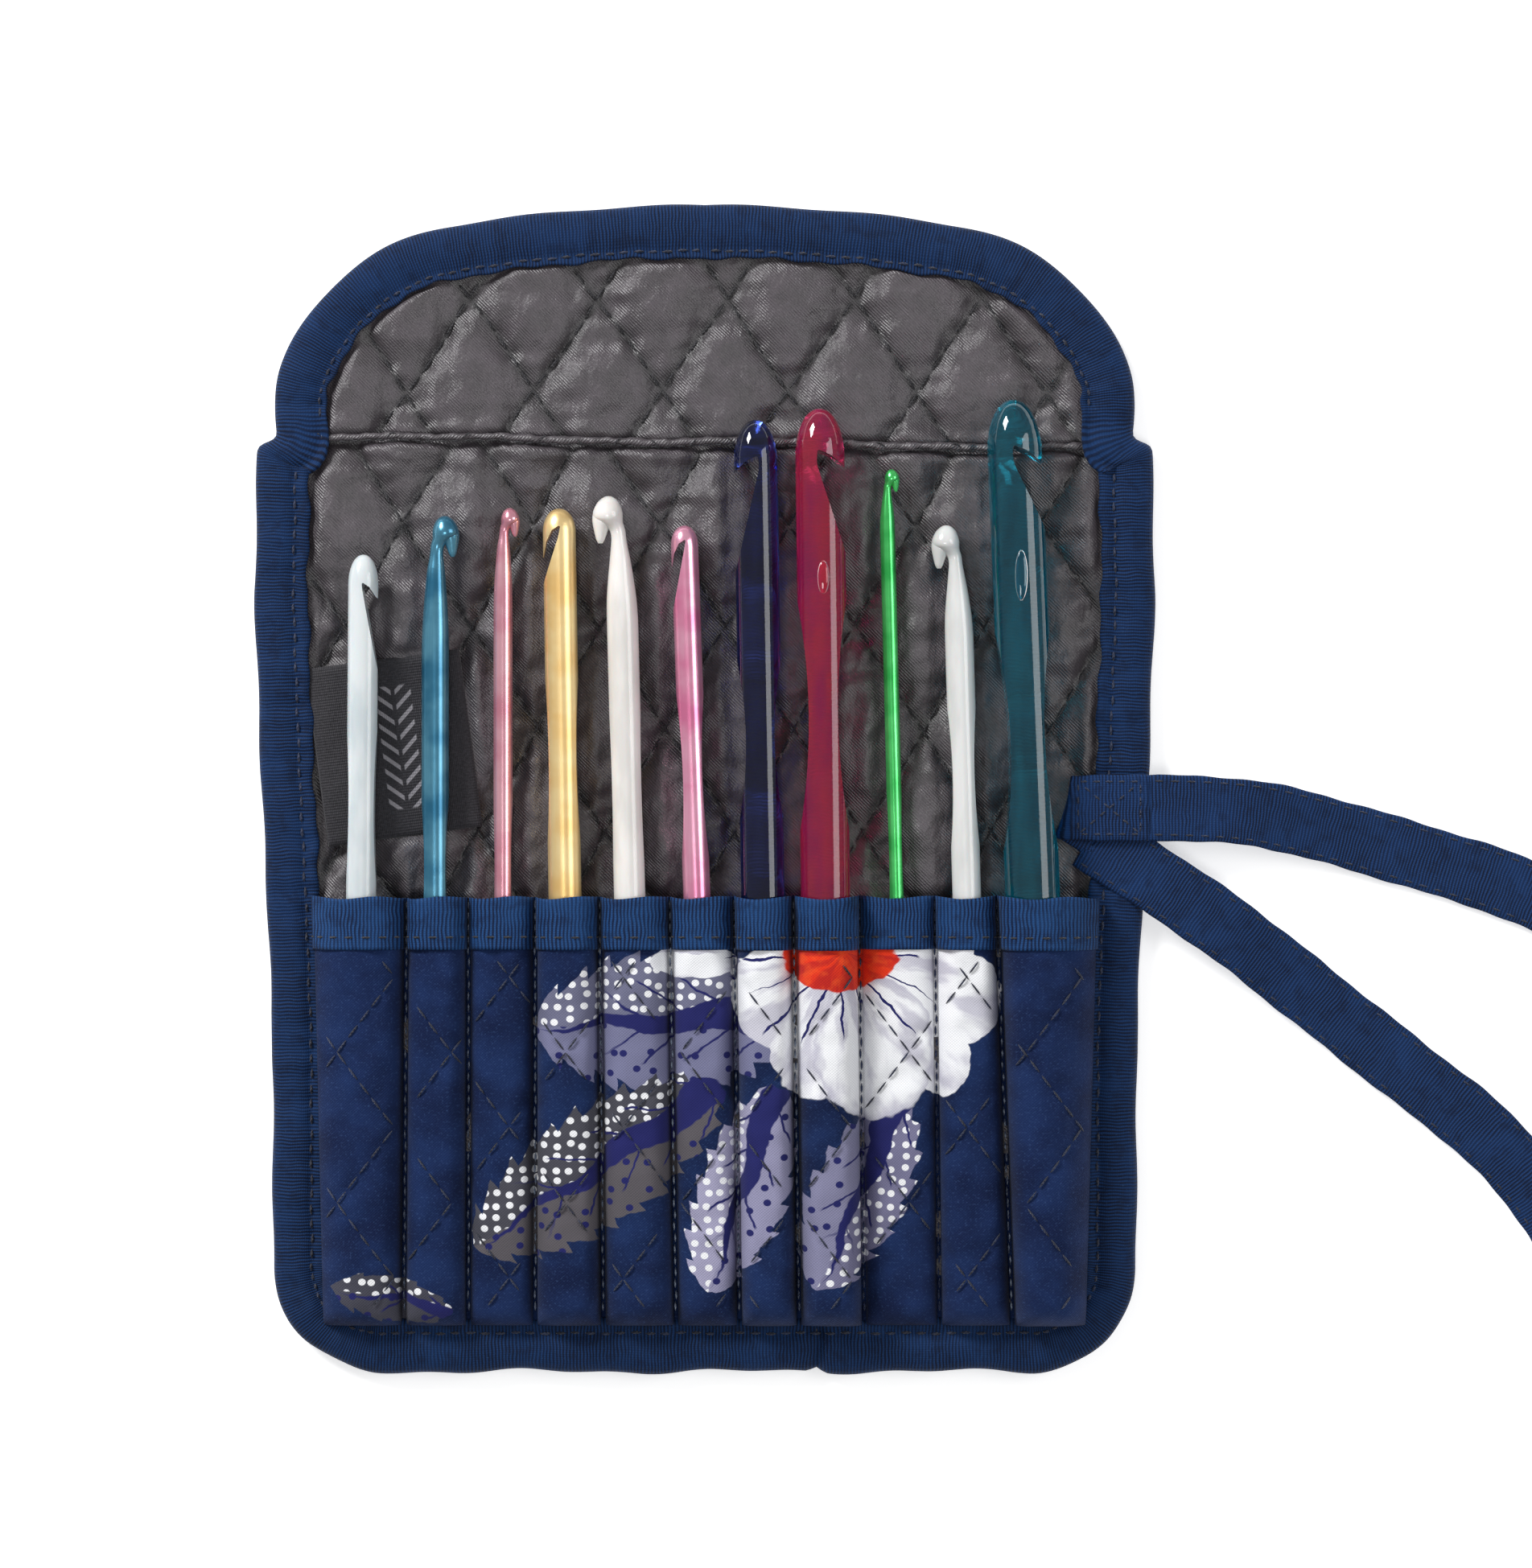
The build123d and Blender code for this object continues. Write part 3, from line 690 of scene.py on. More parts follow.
def woven_label():
    """Black label with a generic column of knit stitches woven in, and no lettering."""
    look = Look("label_weave", Roughness=0.6, Sheen_Weight=0.3, Specular_IOR_Level=0.35)
    thread = look.wave(look.x, 0.34)
    row = look.wave(look.y, 0.5)
    speck = look.noise(2.0, 2.0)
    colour = look.mix(speck.ramp(0.3, 0.75), srgb(26, 24, 30), srgb(44, 42, 48))
    off_centre = (look.x - 1.2).size()
    band = (3.4 - off_centre).ramp(0.0, 0.3) * (11.5 - look.y.size()).ramp(0.0, 0.4)
    arms = ((look.y - off_centre * 0.9) * 0.36).fraction()
    motif = band * (0.2 - (arms - 0.5).size()).ramp(0.0, 0.06) * (off_centre - 0.25).ramp(0.0, 0.2)
    colour = look.mix(motif * 0.8, colour, srgb(150, 146, 152))
    return look.finish(colour, thread * 0.5 + row * 0.6 + motif * 0.8, 0.09)


# ---- hook materials ----


def metal(name, colour, deep, rough=0.2):
    """Anodised aluminium with fine drawing marks along the shank."""
    look = Look(name, mapped=False, Metallic=0.68, Coat_Weight=0.3, Coat_Roughness=0.1)
    drawn = look.noise(1.0, 2.0, look.at(look.x * 4.0, look.y * 0.06, look.z * 4.0))
    patch = look.noise(0.12, 3.0)
    tint = look.mix(patch.ramp(0.35, 0.7), colour, deep)
    tint = look.mix(drawn.ramp(0.4, 0.7) * 0.25, tint, deep)
    return look.finish(tint, rough=drawn * 0.05 + (rough - 0.02))


def plastic(name, colour, deep):
    """Opaque moulded plastic with a soft gloss."""
    look = Look(name, mapped=False, Specular_IOR_Level=0.5, Coat_Weight=0.5, Coat_Roughness=0.06, IOR=1.5)
    look.shader.inputs["Subsurface Weight"].default_value = 0.15
    look.shader.inputs["Subsurface Scale"].default_value = 0.002
    flow = look.noise(0.25, 3.0, look.at(look.x, look.y * 0.25, look.z))
    fine = look.noise(1.4, 2.0)
    tint = look.mix(flow.ramp(0.35, 0.7), colour, deep)
    return look.finish(tint, fine, 0.004, fine * 0.1 + 0.16)


def acrylic(name, colour, deep, clear):
    """Clear tinted acrylic; clear is the share of light that it lets through."""
    look = Look(name, mapped=False, IOR=1.49, Coat_Weight=0.3, Coat_Roughness=0.03)
    look.shader.inputs["Transmission Weight"].default_value = clear
    flow = look.noise(0.3, 3.0, look.at(look.x, look.y * 0.2, look.z))
    look.shader.inputs["Roughness"].default_value = 0.035
    tint = look.mix(flow.ramp(0.3, 0.7), colour, deep)
    return look.finish(tint)


# ---- pieces ----


def outline_path(pitch):
    """Points round the case's edge, once round, with the way out from the cloth at each."""
    corner_y = BOTTOM_Y + CORNER_RADIUS
    low_x = float(side_x(corner_y)) - CORNER_RADIUS
    turn = np.linspace(0, np.pi / 2, 40)
    side = np.linspace(FOLD_Y - 0.8, corner_y, 160)
    bottom = np.linspace(low_x, 0, 60)[1:]
    right = [(float(side_x(y)), y) for y in side]
    right += [(low_x + CORNER_RADIUS * np.cos(t), corner_y - CORNER_RADIUS * np.sin(t)) for t in turn[1:]]
    right += [(x, BOTTOM_Y) for x in bottom]
    join = np.arctan2(CROWN_RADIUS - FLAP_RISE, FLAP_MIDDLE)
    turns = np.linspace(0.02, join, 90)
    arc = [(FLAP_MIDDLE + FLAP_CORNER * np.cos(t), FOLD_Y + FLAP_CORNER * np.sin(t)) for t in turns]
    crown_y = FOLD_Y + FLAP_RISE - CROWN_RADIUS
    turns = np.linspace(join, np.pi / 2, 50)[1:]
    top = [(CROWN_RADIUS * np.cos(t), crown_y + CROWN_RADIUS * np.sin(t)) for t in turns]
    arc = [(x - 1.9 * np.clip(1 - (y - FOLD_Y) / 13, 0, 1) ** 1.5, y) for x, y in arc]
    quarter = list(reversed(top)) + list(reversed(arc)) + right
    half = np.array(quarter)
    loop = np.concatenate([half, (half * (-1, 1))[::-1][1:-1]])
    closed = np.vstack([loop, loop[:1]])
    reach = reach_along(closed)
    count = int(reach[-1] / pitch)
    where = np.arange(count) / count * reach[-1]
    p = np.stack([np.interp(where, reach, closed[:, i]) for i in (0, 1)], -1)
    p = (np.roll(p, 1, 0) + 2 * p + np.roll(p, -1, 0)) / 4
    way = np.roll(p, -1, 0) - np.roll(p, 1, 0)
    way /= np.linalg.norm(way, axis=1)[:, None]
    out = np.stack([-way[:, 1], way[:, 0]], -1)
    out *= np.sign((out * p).sum(1))[:, None]
    for _ in range(10):  # the tape turns gently where the outline steps in at the fold
        out = (np.roll(out, 1, 0) + 2 * out + np.roll(out, -1, 0)) / 4
    out /= np.linalg.norm(out, axis=1)[:, None]
    return p, out, where


BINDING_PROFILE = [  # in from the edge, and height as a share of the rise above the table
    (9.8, 0.78),
    (9.78, 0.88),
    (9.4, 0.94),
    (8.6, 0.95),
    (7.7, 0.89),
    (7.2, 0.845),
    (6.7, 0.895),
    (5.6, 0.985),
    (4.2, 1.0),
    (2.8, 0.985),
    (1.5, 0.92),
    (0.55, 0.8),
    (0.05, 0.62),
    (-0.12, 0.45),
    (0.0, 0.28),
    (0.45, 0.12),
    (1.4, 0.02),
    (3.0, 0.0),
    (6.0, 0.0),
    (9.2, 0.0),
    (9.6, 0.03),
    (9.6, 0.1),
    (6.0, 0.11),
    (2.4, 0.13),
    (1.2, 0.3),
    (1.2, 0.6),
    (2.4, 0.8),
    (5.0, 0.84),
    (9.0, 0.78),
]


def on_crown(p):
    """1 at the top of the flap, where sliding hooks pass over the binding, and 0 elsewhere."""
    return step(TOP_Y - 34, TOP_Y - 22, p[:, 1])


def binding_rise(p, where):
    crown = on_crown(p)
    wave = 0.14 * np.sin(where * 0.21) + 0.12 * np.sin(where * 0.53 + 2) + 0.08 * np.sin(where * 1.3 + 1)
    return 4.55 + (0.45 + wave) * (1 - crown)


def edge_wave(p, where):
    """How far the binding's edge wanders, most along the bottom, with one deep crease there."""
    bottom = step(BOTTOM_Y + 14, BOTTOM_Y + 3, p[:, 1])
    slow = 0.35 * np.sin(where * 0.16 + 0.6) + 0.25 * np.sin(where * 0.37 + 2)
    crease = np.exp(-(((p[:, 0] - 20.5) / 1.1) ** 2)) * bottom
    return 0.18 * np.sin(where * 0.24) * (1 - bottom) + slow * bottom - 0.9 * crease, crease


def binding():
    p, out, where = outline_path(1.0)
    rise = binding_rise(p, where)
    shift, crease = edge_wave(p, where)
    ring = np.array(BINDING_PROFILE)
    inset, share = ring[:, 0], ring[:, 1]
    flap = step(FOLD_Y - 2, FOLD_Y + 2, p[:, 1])
    stitch = 7.2 + 1.3 * flap
    follow = np.interp(inset, (0, 5.6, 7.2, 8.6, 9.8), (0, 0.4, 1, 0.7, 0))
    moved = inset[None] + follow[None] * (stitch - 7.2)[:, None]
    inner_wave = 0.25 * np.sin(where * 0.33 + 1) + 0.2 * np.sin(where * 0.81)
    moved = moved + (inset[None] / BINDING_WIDTH) ** 2 * inner_wave[:, None] * (share[None] > 0.5)
    moved = moved - np.clip(1 - inset / 9, 0, 1)[None] * shift[:, None]
    z = share[None] * rise[:, None]
    pucker = 0.17 * np.sin(where * 1.5 + 0.8 * np.sin(where * 0.3))[:, None]
    pucker = pucker * np.exp(-(((inset - 7.7) / 2.0) ** 2))[None]
    drop = crease[:, None] * np.clip(share - 0.3, 0, 1)[None] * 2.0
    z = z + pucker * (share[None] > 0.5) - drop
    xy = p[:, None] - out[:, None] * moved[..., None]
    points = np.concatenate([xy, z[..., None]], -1)
    length = where[-1] + 1.0
    across = section_reach(inset, share * 4.6)
    across = np.append(across, across[-1] + 1)
    along = np.append(where, length)
    uv = np.stack(np.broadcast_arrays(along[:, None], across[None]), -1)
    piece = tube_mesh("binding_tape", points, uv, LOOKS["binding_tape"], close_rows=True)
    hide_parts("body_binding", "flap_binding")
    cross_fold(piece)
    runs = []
    place = np.arange(1.0, length - 2, 2.75)
    for k, a in enumerate(place):
        spots = a + np.linspace(0, 1.95, 4)
        if abs(np.interp(a + 1, where, p[:, 1]) - FOLD_Y) < 5.5:
            continue
        x, y = np.interp(spots, where, p[:, 0]), np.interp(spots, where, p[:, 1])
        ox, oy = np.interp(spots, where, out[:, 0]), np.interp(spots, where, out[:, 1])
        inward = np.interp(spots, where, stitch) + 0.12 * np.sin(k * 1.7)
        height = np.interp(spots, where, rise) * 0.875 + (-0.2, 0.16, 0.16, -0.2)
        runs.append(np.stack([x - ox * inward, y - oy * inward, height], -1))
    thread = strand_mesh("binding_stitches", runs, 0.24, LOOKS["navy_thread"])
    cross_fold(thread)


def cross_fold(piece):
    """The piece crosses the fold; its placement is baked into its mesh."""
    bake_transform(piece)


def quilts():
    top = quilt_sheet("quilt_lining", LOOKS["lining_satin"], 4.6, 0.7, lining_z, 1.5)
    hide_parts("body_lining", "flap_lining", "body_wadding", "flap_wadding")
    shade_points(top)
    cross_fold(top)
    under = quilt_sheet("quilt_back", LOOKS["outer_cloth"], 4.6, 1.1, outer_z, 1.6, flip=True)
    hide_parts("body_outer", "flap_outer")
    shade_points(under)
    cross_fold(under)


def quilting_lines(node, rows, skew, low, high):
    """Runs of points down every quilting line between low and high."""
    lines = []
    for sign in (-1, 1):
        for k in range(-14, 15):
            y = np.arange(low, high, 0.65)
            x = node[0] + skew * (node[1] - y) + QUILT_PITCH * (k - sign * (y - node[1]) / rows)
            lines.append(np.stack([x, y], -1))
    return lines


def inside_lining(x, y, margin=0.4):
    ok = np.abs(x) < half_width(y, BINDING_WIDTH + margin)
    return ok & (y < TOP_Y - BINDING_WIDTH - margin - (x / 60) ** 2 * 2)


def dashes(line, height, keep=None):
    """Cuts a run of points into stitches, each dipping into the cloth at its ends."""
    stitch, gap = 4, 1
    out = []
    for a in range(0, len(line) - stitch, stitch + gap):
        part = line[a : a + stitch + 1]
        if keep is not None and not keep(part[:, 0], part[:, 1]).all():
            continue
        z = height(part[:, 0], part[:, 1])
        lift = 0.16 * np.sin(np.linspace(0, np.pi, len(part))) + 0.3
        out.append(np.column_stack([part, z + lift]))
    return out


def lining_stitches():
    def flap_ok(x, y):
        return inside_lining(x, y) & (y > seam_y(x) + 1.2)

    def body_ok(x, y):
        return inside_lining(x, y) & (y < seam_y(x) - 1.2)

    def warped(line):
        x, y = line[:, 0], line[:, 1]
        across, up = quilt_sway(x, y)
        return np.stack([x - across, y - up], -1)

    def back(x, y):
        return outer_z(x, y) - 0.45

    for name, height, low, radius, look in (
        ("lining_stitches", lining_z, MOUTH_Y - 3, 0.21, "dark_thread"),
        ("back_stitches", back, PANEL_BOTTOM_Y + 1, 0.13, "thread"),
    ):
        runs = []
        for line in quilting_lines(FLAP_NODE, FLAP_ROWS, 0.0, FOLD_Y - 3, TOP_Y):
            runs += dashes(warped(line), height, keep=flap_ok)
        for line in quilting_lines(BODY_NODE, BODY_ROWS, BODY_SKEW, low, FOLD_Y + 3):
            runs += dashes(warped(line), height, keep=body_ok)
        piece = strand_mesh(name, runs, radius, LOOKS[look])
        cross_fold(piece)


def fold_tuck():
    """The stitched tuck: a rolled lip of satin each side of the line, and its dark zigzag of thread."""
    x = np.arange(-72.5, 72.6, 0.7)
    turn = np.linspace(0, 2 * np.pi, 10, endpoint=False)
    y = seam_y(x)
    wob = 0.16 * np.sin(x * 1.3) + 0.12 * np.sin(x * 3.1)
    centre = np.stack([x, y + 0.55 + wob * 0.5, 3.55 + 0.25 * ripple(x, 0 * x, 3, 31)], -1)
    radius = 0.62 + 0.16 * ripple(x, 0 * x, 4, 33)
    lip = np.stack([0 * turn, np.cos(turn) * 1.15, np.sin(turn) * 0.8], -1)
    ring = centre[:, None] + radius[:, None, None] * lip[None]
    uv = np.stack(np.broadcast_arrays(x[:, None], np.arange(11)[None] * 0.4), -1)
    piece = tube_mesh("fold_seam_tuck", ring, uv, LOOKS["lining_satin"])
    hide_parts("fold_seam")
    cross_fold(piece)
    runs = []
    for k, a in enumerate(np.arange(-72, 71, 2.3)):
        b = np.linspace(a, a + 1.9, 4)
        tilt = 0.35 * np.sin(k * 2.3)
        runs.append(np.stack([b, seam_y(b) - 0.25 + tilt * np.linspace(-0.5, 0.5, 4), 3.75 + DEEP_LIFT], -1))
        if k % 3 == 0:
            loose = np.linspace(0, 1, 5)
            away = seam_y(a) + 0.4 + 0.7 * np.sin(loose * 2.5 + k)
            runs.append(np.stack([a + loose * 1.6, away, 4.0 + 0.3 * loose], -1))
    thread = strand_mesh("fold_seam_thread", runs, 0.15, LOOKS["dark_thread"])
    cross_fold(thread)


PANEL_FLOOR, PANEL_SIDE = 4.35, 0.42  # height of the cloth on a channel's line, and half the groove's width
ARCH_POINTS = 26


def panel_section(y, out, fall=1.0):
    """The pocket cloth across all channels at y, as far out from its middle surface as out says."""
    lines, middles = channel_at(y)
    turn = np.linspace(0, np.pi, ARCH_POINTS)
    wide, high = np.abs(np.cos(turn)) ** 0.55 * np.sign(-np.cos(turn)), np.sin(turn)
    xs, zs, flat = [], [], []
    for i, (middle, hook) in enumerate(zip(middles, HOOKS)):
        left, right = lines[i], lines[i + 1]
        spread = wide
        if i in (0, len(HOOKS) - 1):  # the outer channels slope down under the binding
            outer = wide < 0 if i == 0 else wide > 0
            spread = np.where(outer, np.abs(np.cos(turn)) ** 1.1 * np.sign(wide) * 1.12, wide)
        reach = np.where(wide < 0, middle - left, right - middle) - PANEL_SIDE + out
        height = (hook[0] + 1.45 + out) * fall
        x = middle + spread * reach
        bulge = 0.12 * np.sin(y * 0.35 + i * 2.1) * high
        z = PANEL_FLOOR + min(out, 0.0) + high**0.9 * height + bulge * 0.6
        way = section_reach(x, z)
        share = 0.75 * (x - left) / (right - left) + 0.25 * way / way[-1]
        xs.append(x)
        zs.append(z)
        flat.append(left + (right - left) * share)
    return np.concatenate(xs), np.concatenate(zs), np.concatenate(flat)


def panel_fall(y):
    """The channels round down to nothing past the hooks' ends."""
    past = np.clip((PANEL_BOTTOM_Y + 5.0 - y) / 6.2, 0, 1)
    return np.sqrt(np.clip(1 - past**2.8, 0.0, 1))


def quilt_dent(x, y):
    """Dents in the pocket cloth along its own diagonal quilting."""
    a, b = pocket_phases(x, y)
    near = np.minimum(np.abs(a - np.round(a)), np.abs(b - np.round(b)))
    return np.exp(-((near * 17 / 1.1) ** 2))


POCKET_NODE, POCKET_PITCH, POCKET_ROWS = (-4.3, -48.0), 20.8, 27.4


def pocket_phases(x, y):
    across, up = (x - POCKET_NODE[0]) / POCKET_PITCH, (y - POCKET_NODE[1]) / POCKET_ROWS
    return across + up, across - up


def panel_grid(rows, out, dented=True):
    grid, uv = [], []
    for y in rows:
        x, z, flat = panel_section(y, out, float(panel_fall(y)))
        if dented:
            lift = np.clip((z - PANEL_FLOOR) / 4, 0, 1)
            z = z - (0.42 * quilt_dent(x, y) - 0.16 * ripple(x, 0 * x + y, 7, 41)) * lift
            z = z + 0.1 * ripple(x, 0 * x + y * 0.6, 3.2, 43) * lift
        grid.append(np.stack([x, 0 * x + y, z], -1))
        uv.append(np.stack([flat, 0 * x + y], -1))
    return np.array(grid), np.array(uv)


def pocket():
    rows = np.arange(PANEL_BOTTOM_Y - 1.0, MOUTH_Y - 0.15, 0.7)
    top, uv = panel_grid(rows, 0.0)
    under, _ = panel_grid(rows, -0.35, False)
    under[..., 2] = np.minimum(under[..., 2], top[..., 2] - 0.12)
    piece = shell_mesh("pocket_cloth", top, under, uv, LOOKS["printed_cotton"])
    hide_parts("pocket_panel")
    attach(piece, "case")

    rows = np.linspace(MOUTH_Y - MOUTH_TAPE_WIDTH, MOUTH_Y, 16)
    outer, uv = panel_grid(rows, 0.36, False)
    inner, _ = panel_grid(rows, 0.02, False)
    scallop = 0.25 * np.sin(outer[..., 0] * 0.5) * step(MOUTH_Y - 2, MOUTH_Y, outer[..., 1])
    outer[..., 1] += scallop
    inner[..., 1] += scallop
    outer[-1, :, 2] -= 0.14
    tape = shell_mesh("pocket_mouth_tape", outer, inner, uv, LOOKS["mouth_tape"])
    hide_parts("pocket_tape")
    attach(tape, "case")

    runs = []
    y = MOUTH_Y - MOUTH_TAPE_WIDTH + 2.3
    x, z, _ = panel_section(y, 0.36, 1.0)
    way = section_reach(x, z)
    for a in np.arange(1.0, way[-1] - 3, 3.1):
        spots = a + np.linspace(0, 1.7, 5)
        sx, sz = np.interp(spots, way, x), np.interp(spots, way, z)
        runs.append(np.stack([sx, 0 * sx + y, sz + (-0.1, 0.1, 0.14, 0.1, -0.1)], -1))
    row = strand_mesh("mouth_stitches", runs, 0.17, LOOKS["dark_thread"])
    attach(row, "case")


def pocket_height(x, y):
    """Top of the pocket cloth at each point."""
    out = []
    for px, py in zip(np.atleast_1d(x), np.atleast_1d(y)):
        sx, sz, _ = panel_section(py, 0.0, float(panel_fall(py)))
        out.append(np.interp(px, sx, sz))
    return np.array(out)


def pocket_stitches():
    runs = []
    for sign in (-1, 1):
        for k in range(-8, 9):
            y = np.arange(PANEL_BOTTOM_Y + 3, MOUTH_Y - MOUTH_TAPE_WIDTH - 0.5, 0.55)
            x = POCKET_NODE[0] + POCKET_PITCH * (k - sign * (y - POCKET_NODE[1]) / POCKET_ROWS)
            ok = np.abs(x) < 69
            line = np.stack([x[ok], y[ok]], -1)
            for run in dashes(line, pocket_height):
                if np.ptp(run[:, 2]) < 2.2:
                    run[:, 2] -= 0.42
                    runs.append(run)
    piece = strand_mesh("pocket_quilting_thread", runs, 0.17, LOOKS["navy_thread"])
    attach(piece, "case")

    runs = []
    for i in range(1, len(HOOKS)):
        for k, y in enumerate(np.arange(PANEL_BOTTOM_Y + 1.5, MOUTH_Y - 0.6, 2.1)):
            ys = y + np.linspace(0, 1.75, 4)
            lines, _ = channel_at(ys)
            side = 0.1 * np.sin(k * 2.7 + i)
            raised = 0.35 if y > MOUTH_Y - MOUTH_TAPE_WIDTH else 0.0
            z = PANEL_FLOOR + 0.3 + raised + DEEP_LIFT
            runs.append(np.stack([lines[i] + side, ys, z], -1))
    lines = strand_mesh("channel_thread", runs, 0.19, LOOKS["specked_thread"])
    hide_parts("channel_stitches")
    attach(lines, "case")


def label():
    u = np.linspace(-LABEL_SIZE[0] / 2, LABEL_SIZE[0] / 2, 42)
    v = np.linspace(-LABEL_SIZE[1] / 2, LABEL_SIZE[1] / 2, 48)
    uu, vv = np.meshgrid(u, v)
    x = LABEL_X + uu * np.cos(LABEL_TURN) - vv * np.sin(LABEL_TURN)
    y = LABEL_Y + uu * np.sin(LABEL_TURN) + vv * np.cos(LABEL_TURN)
    z = np.minimum(4.35 + 0.22 * ripple(x, y, 13, 51) + 0.06 * ripple(x, y, 4, 52), 4.62)
    edge = np.minimum(LABEL_SIZE[0] / 2 - np.abs(uu), LABEL_SIZE[1] / 2 - np.abs(vv))
    z = z - 0.3 * (1 - step(0, 1.2, edge))
    top = np.stack([x, y, z], -1)
    under = np.stack([x, y, z - 0.4], -1)
    piece = shell_mesh("woven_label", top, under, np.stack([uu, vv], -1), LOOKS["label_weave"])
    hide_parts("label")
    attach(piece, "case")


# ---- ties ----

TIE_FLOOR = TIE_THICK / 2 + 0.3
TIE_UPPER = [
    (81.06, ANCHOR_Y, 6.55),
    (97.0, ANCHOR_Y, 6.55),
    (113.0, -7.2, 1.9),
    (130.0, -12.2, TIE_FLOOR),
    (149.0, -18.0, TIE_FLOOR),
    (167.0, -27.0, TIE_FLOOR),
    (181.0, -43.0, TIE_FLOOR),
    (189.0, -64.0, TIE_FLOOR),
    (188.0, -88.0, TIE_FLOOR),
    (183.0, -110.0, TIE_FLOOR),
    (182.0, -131.0, TIE_FLOOR),
]
TIE_LOWER = [
    (70.5, -9.0, 5.12),
    (91.5, -22.4, 5.6),
    (108.0, -35.2, 1.4),
    (128.0, -51.2, TIE_FLOOR),
    (146.0, -65.0, TIE_FLOOR),
    (160.0, -83.0, TIE_FLOOR),
    (164.0, -105.0, TIE_FLOOR),
    (162.0, -127.0, TIE_FLOOR),
    (163.0, -148.0, TIE_FLOOR),
]


def route_points(name, points):
    """Points along the route's smooth line, in millimetres."""
    curve = bpy.data.curves.new(name, "CURVE")
    curve.dimensions = "3D"
    spline = curve.splines.new("NURBS")
    spline.points.add(len(points) - 1)
    for place, p in zip(spline.points, points):
        place.co = (p[0] / 1000, p[1] / 1000, p[2] / 1000, 1.0)
    spline.order_u = 3
    spline.use_endpoint_u = True
    spline.resolution_u = 16
    holder = add_object(name, curve)
    bpy.context.view_layer.update()
    line = bpy.data.meshes.new_from_object(holder.evaluated_get(bpy.context.evaluated_depsgraph_get()))
    found = np.array([v.co[:] for v in line.vertices]) * 1000
    bpy.data.objects.remove(holder)
    return found


TAPE_RING = [(-1, 0), (-0.985, 0.55), (-0.93, 0.88), (-0.8, 1), (-0.4, 0.95), (0, 0.95), (0.4, 0.95), (0.8, 1)]
TAPE_RING += [(0.93, 0.88), (0.985, 0.55), (1, 0), (0.985, -0.55), (0.93, -0.88), (0.8, -1), (0.4, -0.95), (0, -0.95)]
TAPE_RING += [(-0.4, -0.95), (-0.8, -1), (-0.93, -0.88), (-0.985, -0.55)]


def tape(name, line, width, thick, material, across=None):
    """A flat tape along a line of points."""
    way = np.gradient(line, axis=0)
    way /= np.linalg.norm(way, axis=1)[:, None]
    if across is None:
        across = np.cross((0, 0, 1.0), way)
        across /= np.linalg.norm(across, axis=1)[:, None]
    up = np.cross(way, across)
    up /= np.linalg.norm(up, axis=1)[:, None]
    ring = np.array(TAPE_RING)
    reach = reach_along(line)
    waved = 1 + 0.018 * np.sin(reach * 0.31) + 0.012 * np.sin(reach * 0.83)
    points = (
        line[:, None]
        + across[:, None] * (ring[:, 0][None] * waved[:, None] * width / 2)[..., None]
        + up[:, None] * (ring[:, 1] * thick / 2)[None, :, None]
    )
    span = np.append(ring[:, 0] * width / 2, ring[0, 0] * width / 2)
    uv = np.stack(np.broadcast_arrays(reach[:, None], span[None]), -1)
    piece = tube_mesh(name, points, uv, material)
    return piece, reach, across, up


def edge_stitches(name, line, reach, across, up, thick, insets):
    """Rows of stitches along a tape, each row as far from its middle as its inset says."""
    runs = []
    for inset in insets:
        for a in np.arange(reach[0] + 0.8, reach[-1] - 2.4, 2.9):
            spots = a + np.linspace(0, 2.1, 4)
            p, c, u = (
                np.stack([np.interp(spots, reach, way[:, i]) for i in range(3)], -1) for way in (line, across, up)
            )
            lift = thick / 2 * 0.97 + STITCH_LIFT
            runs.append(p + c * inset + u * lift[:, None])
    piece = strand_mesh(name, runs, 0.15, LOOKS["navy_thread"])
    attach(piece, "case")
    return piece


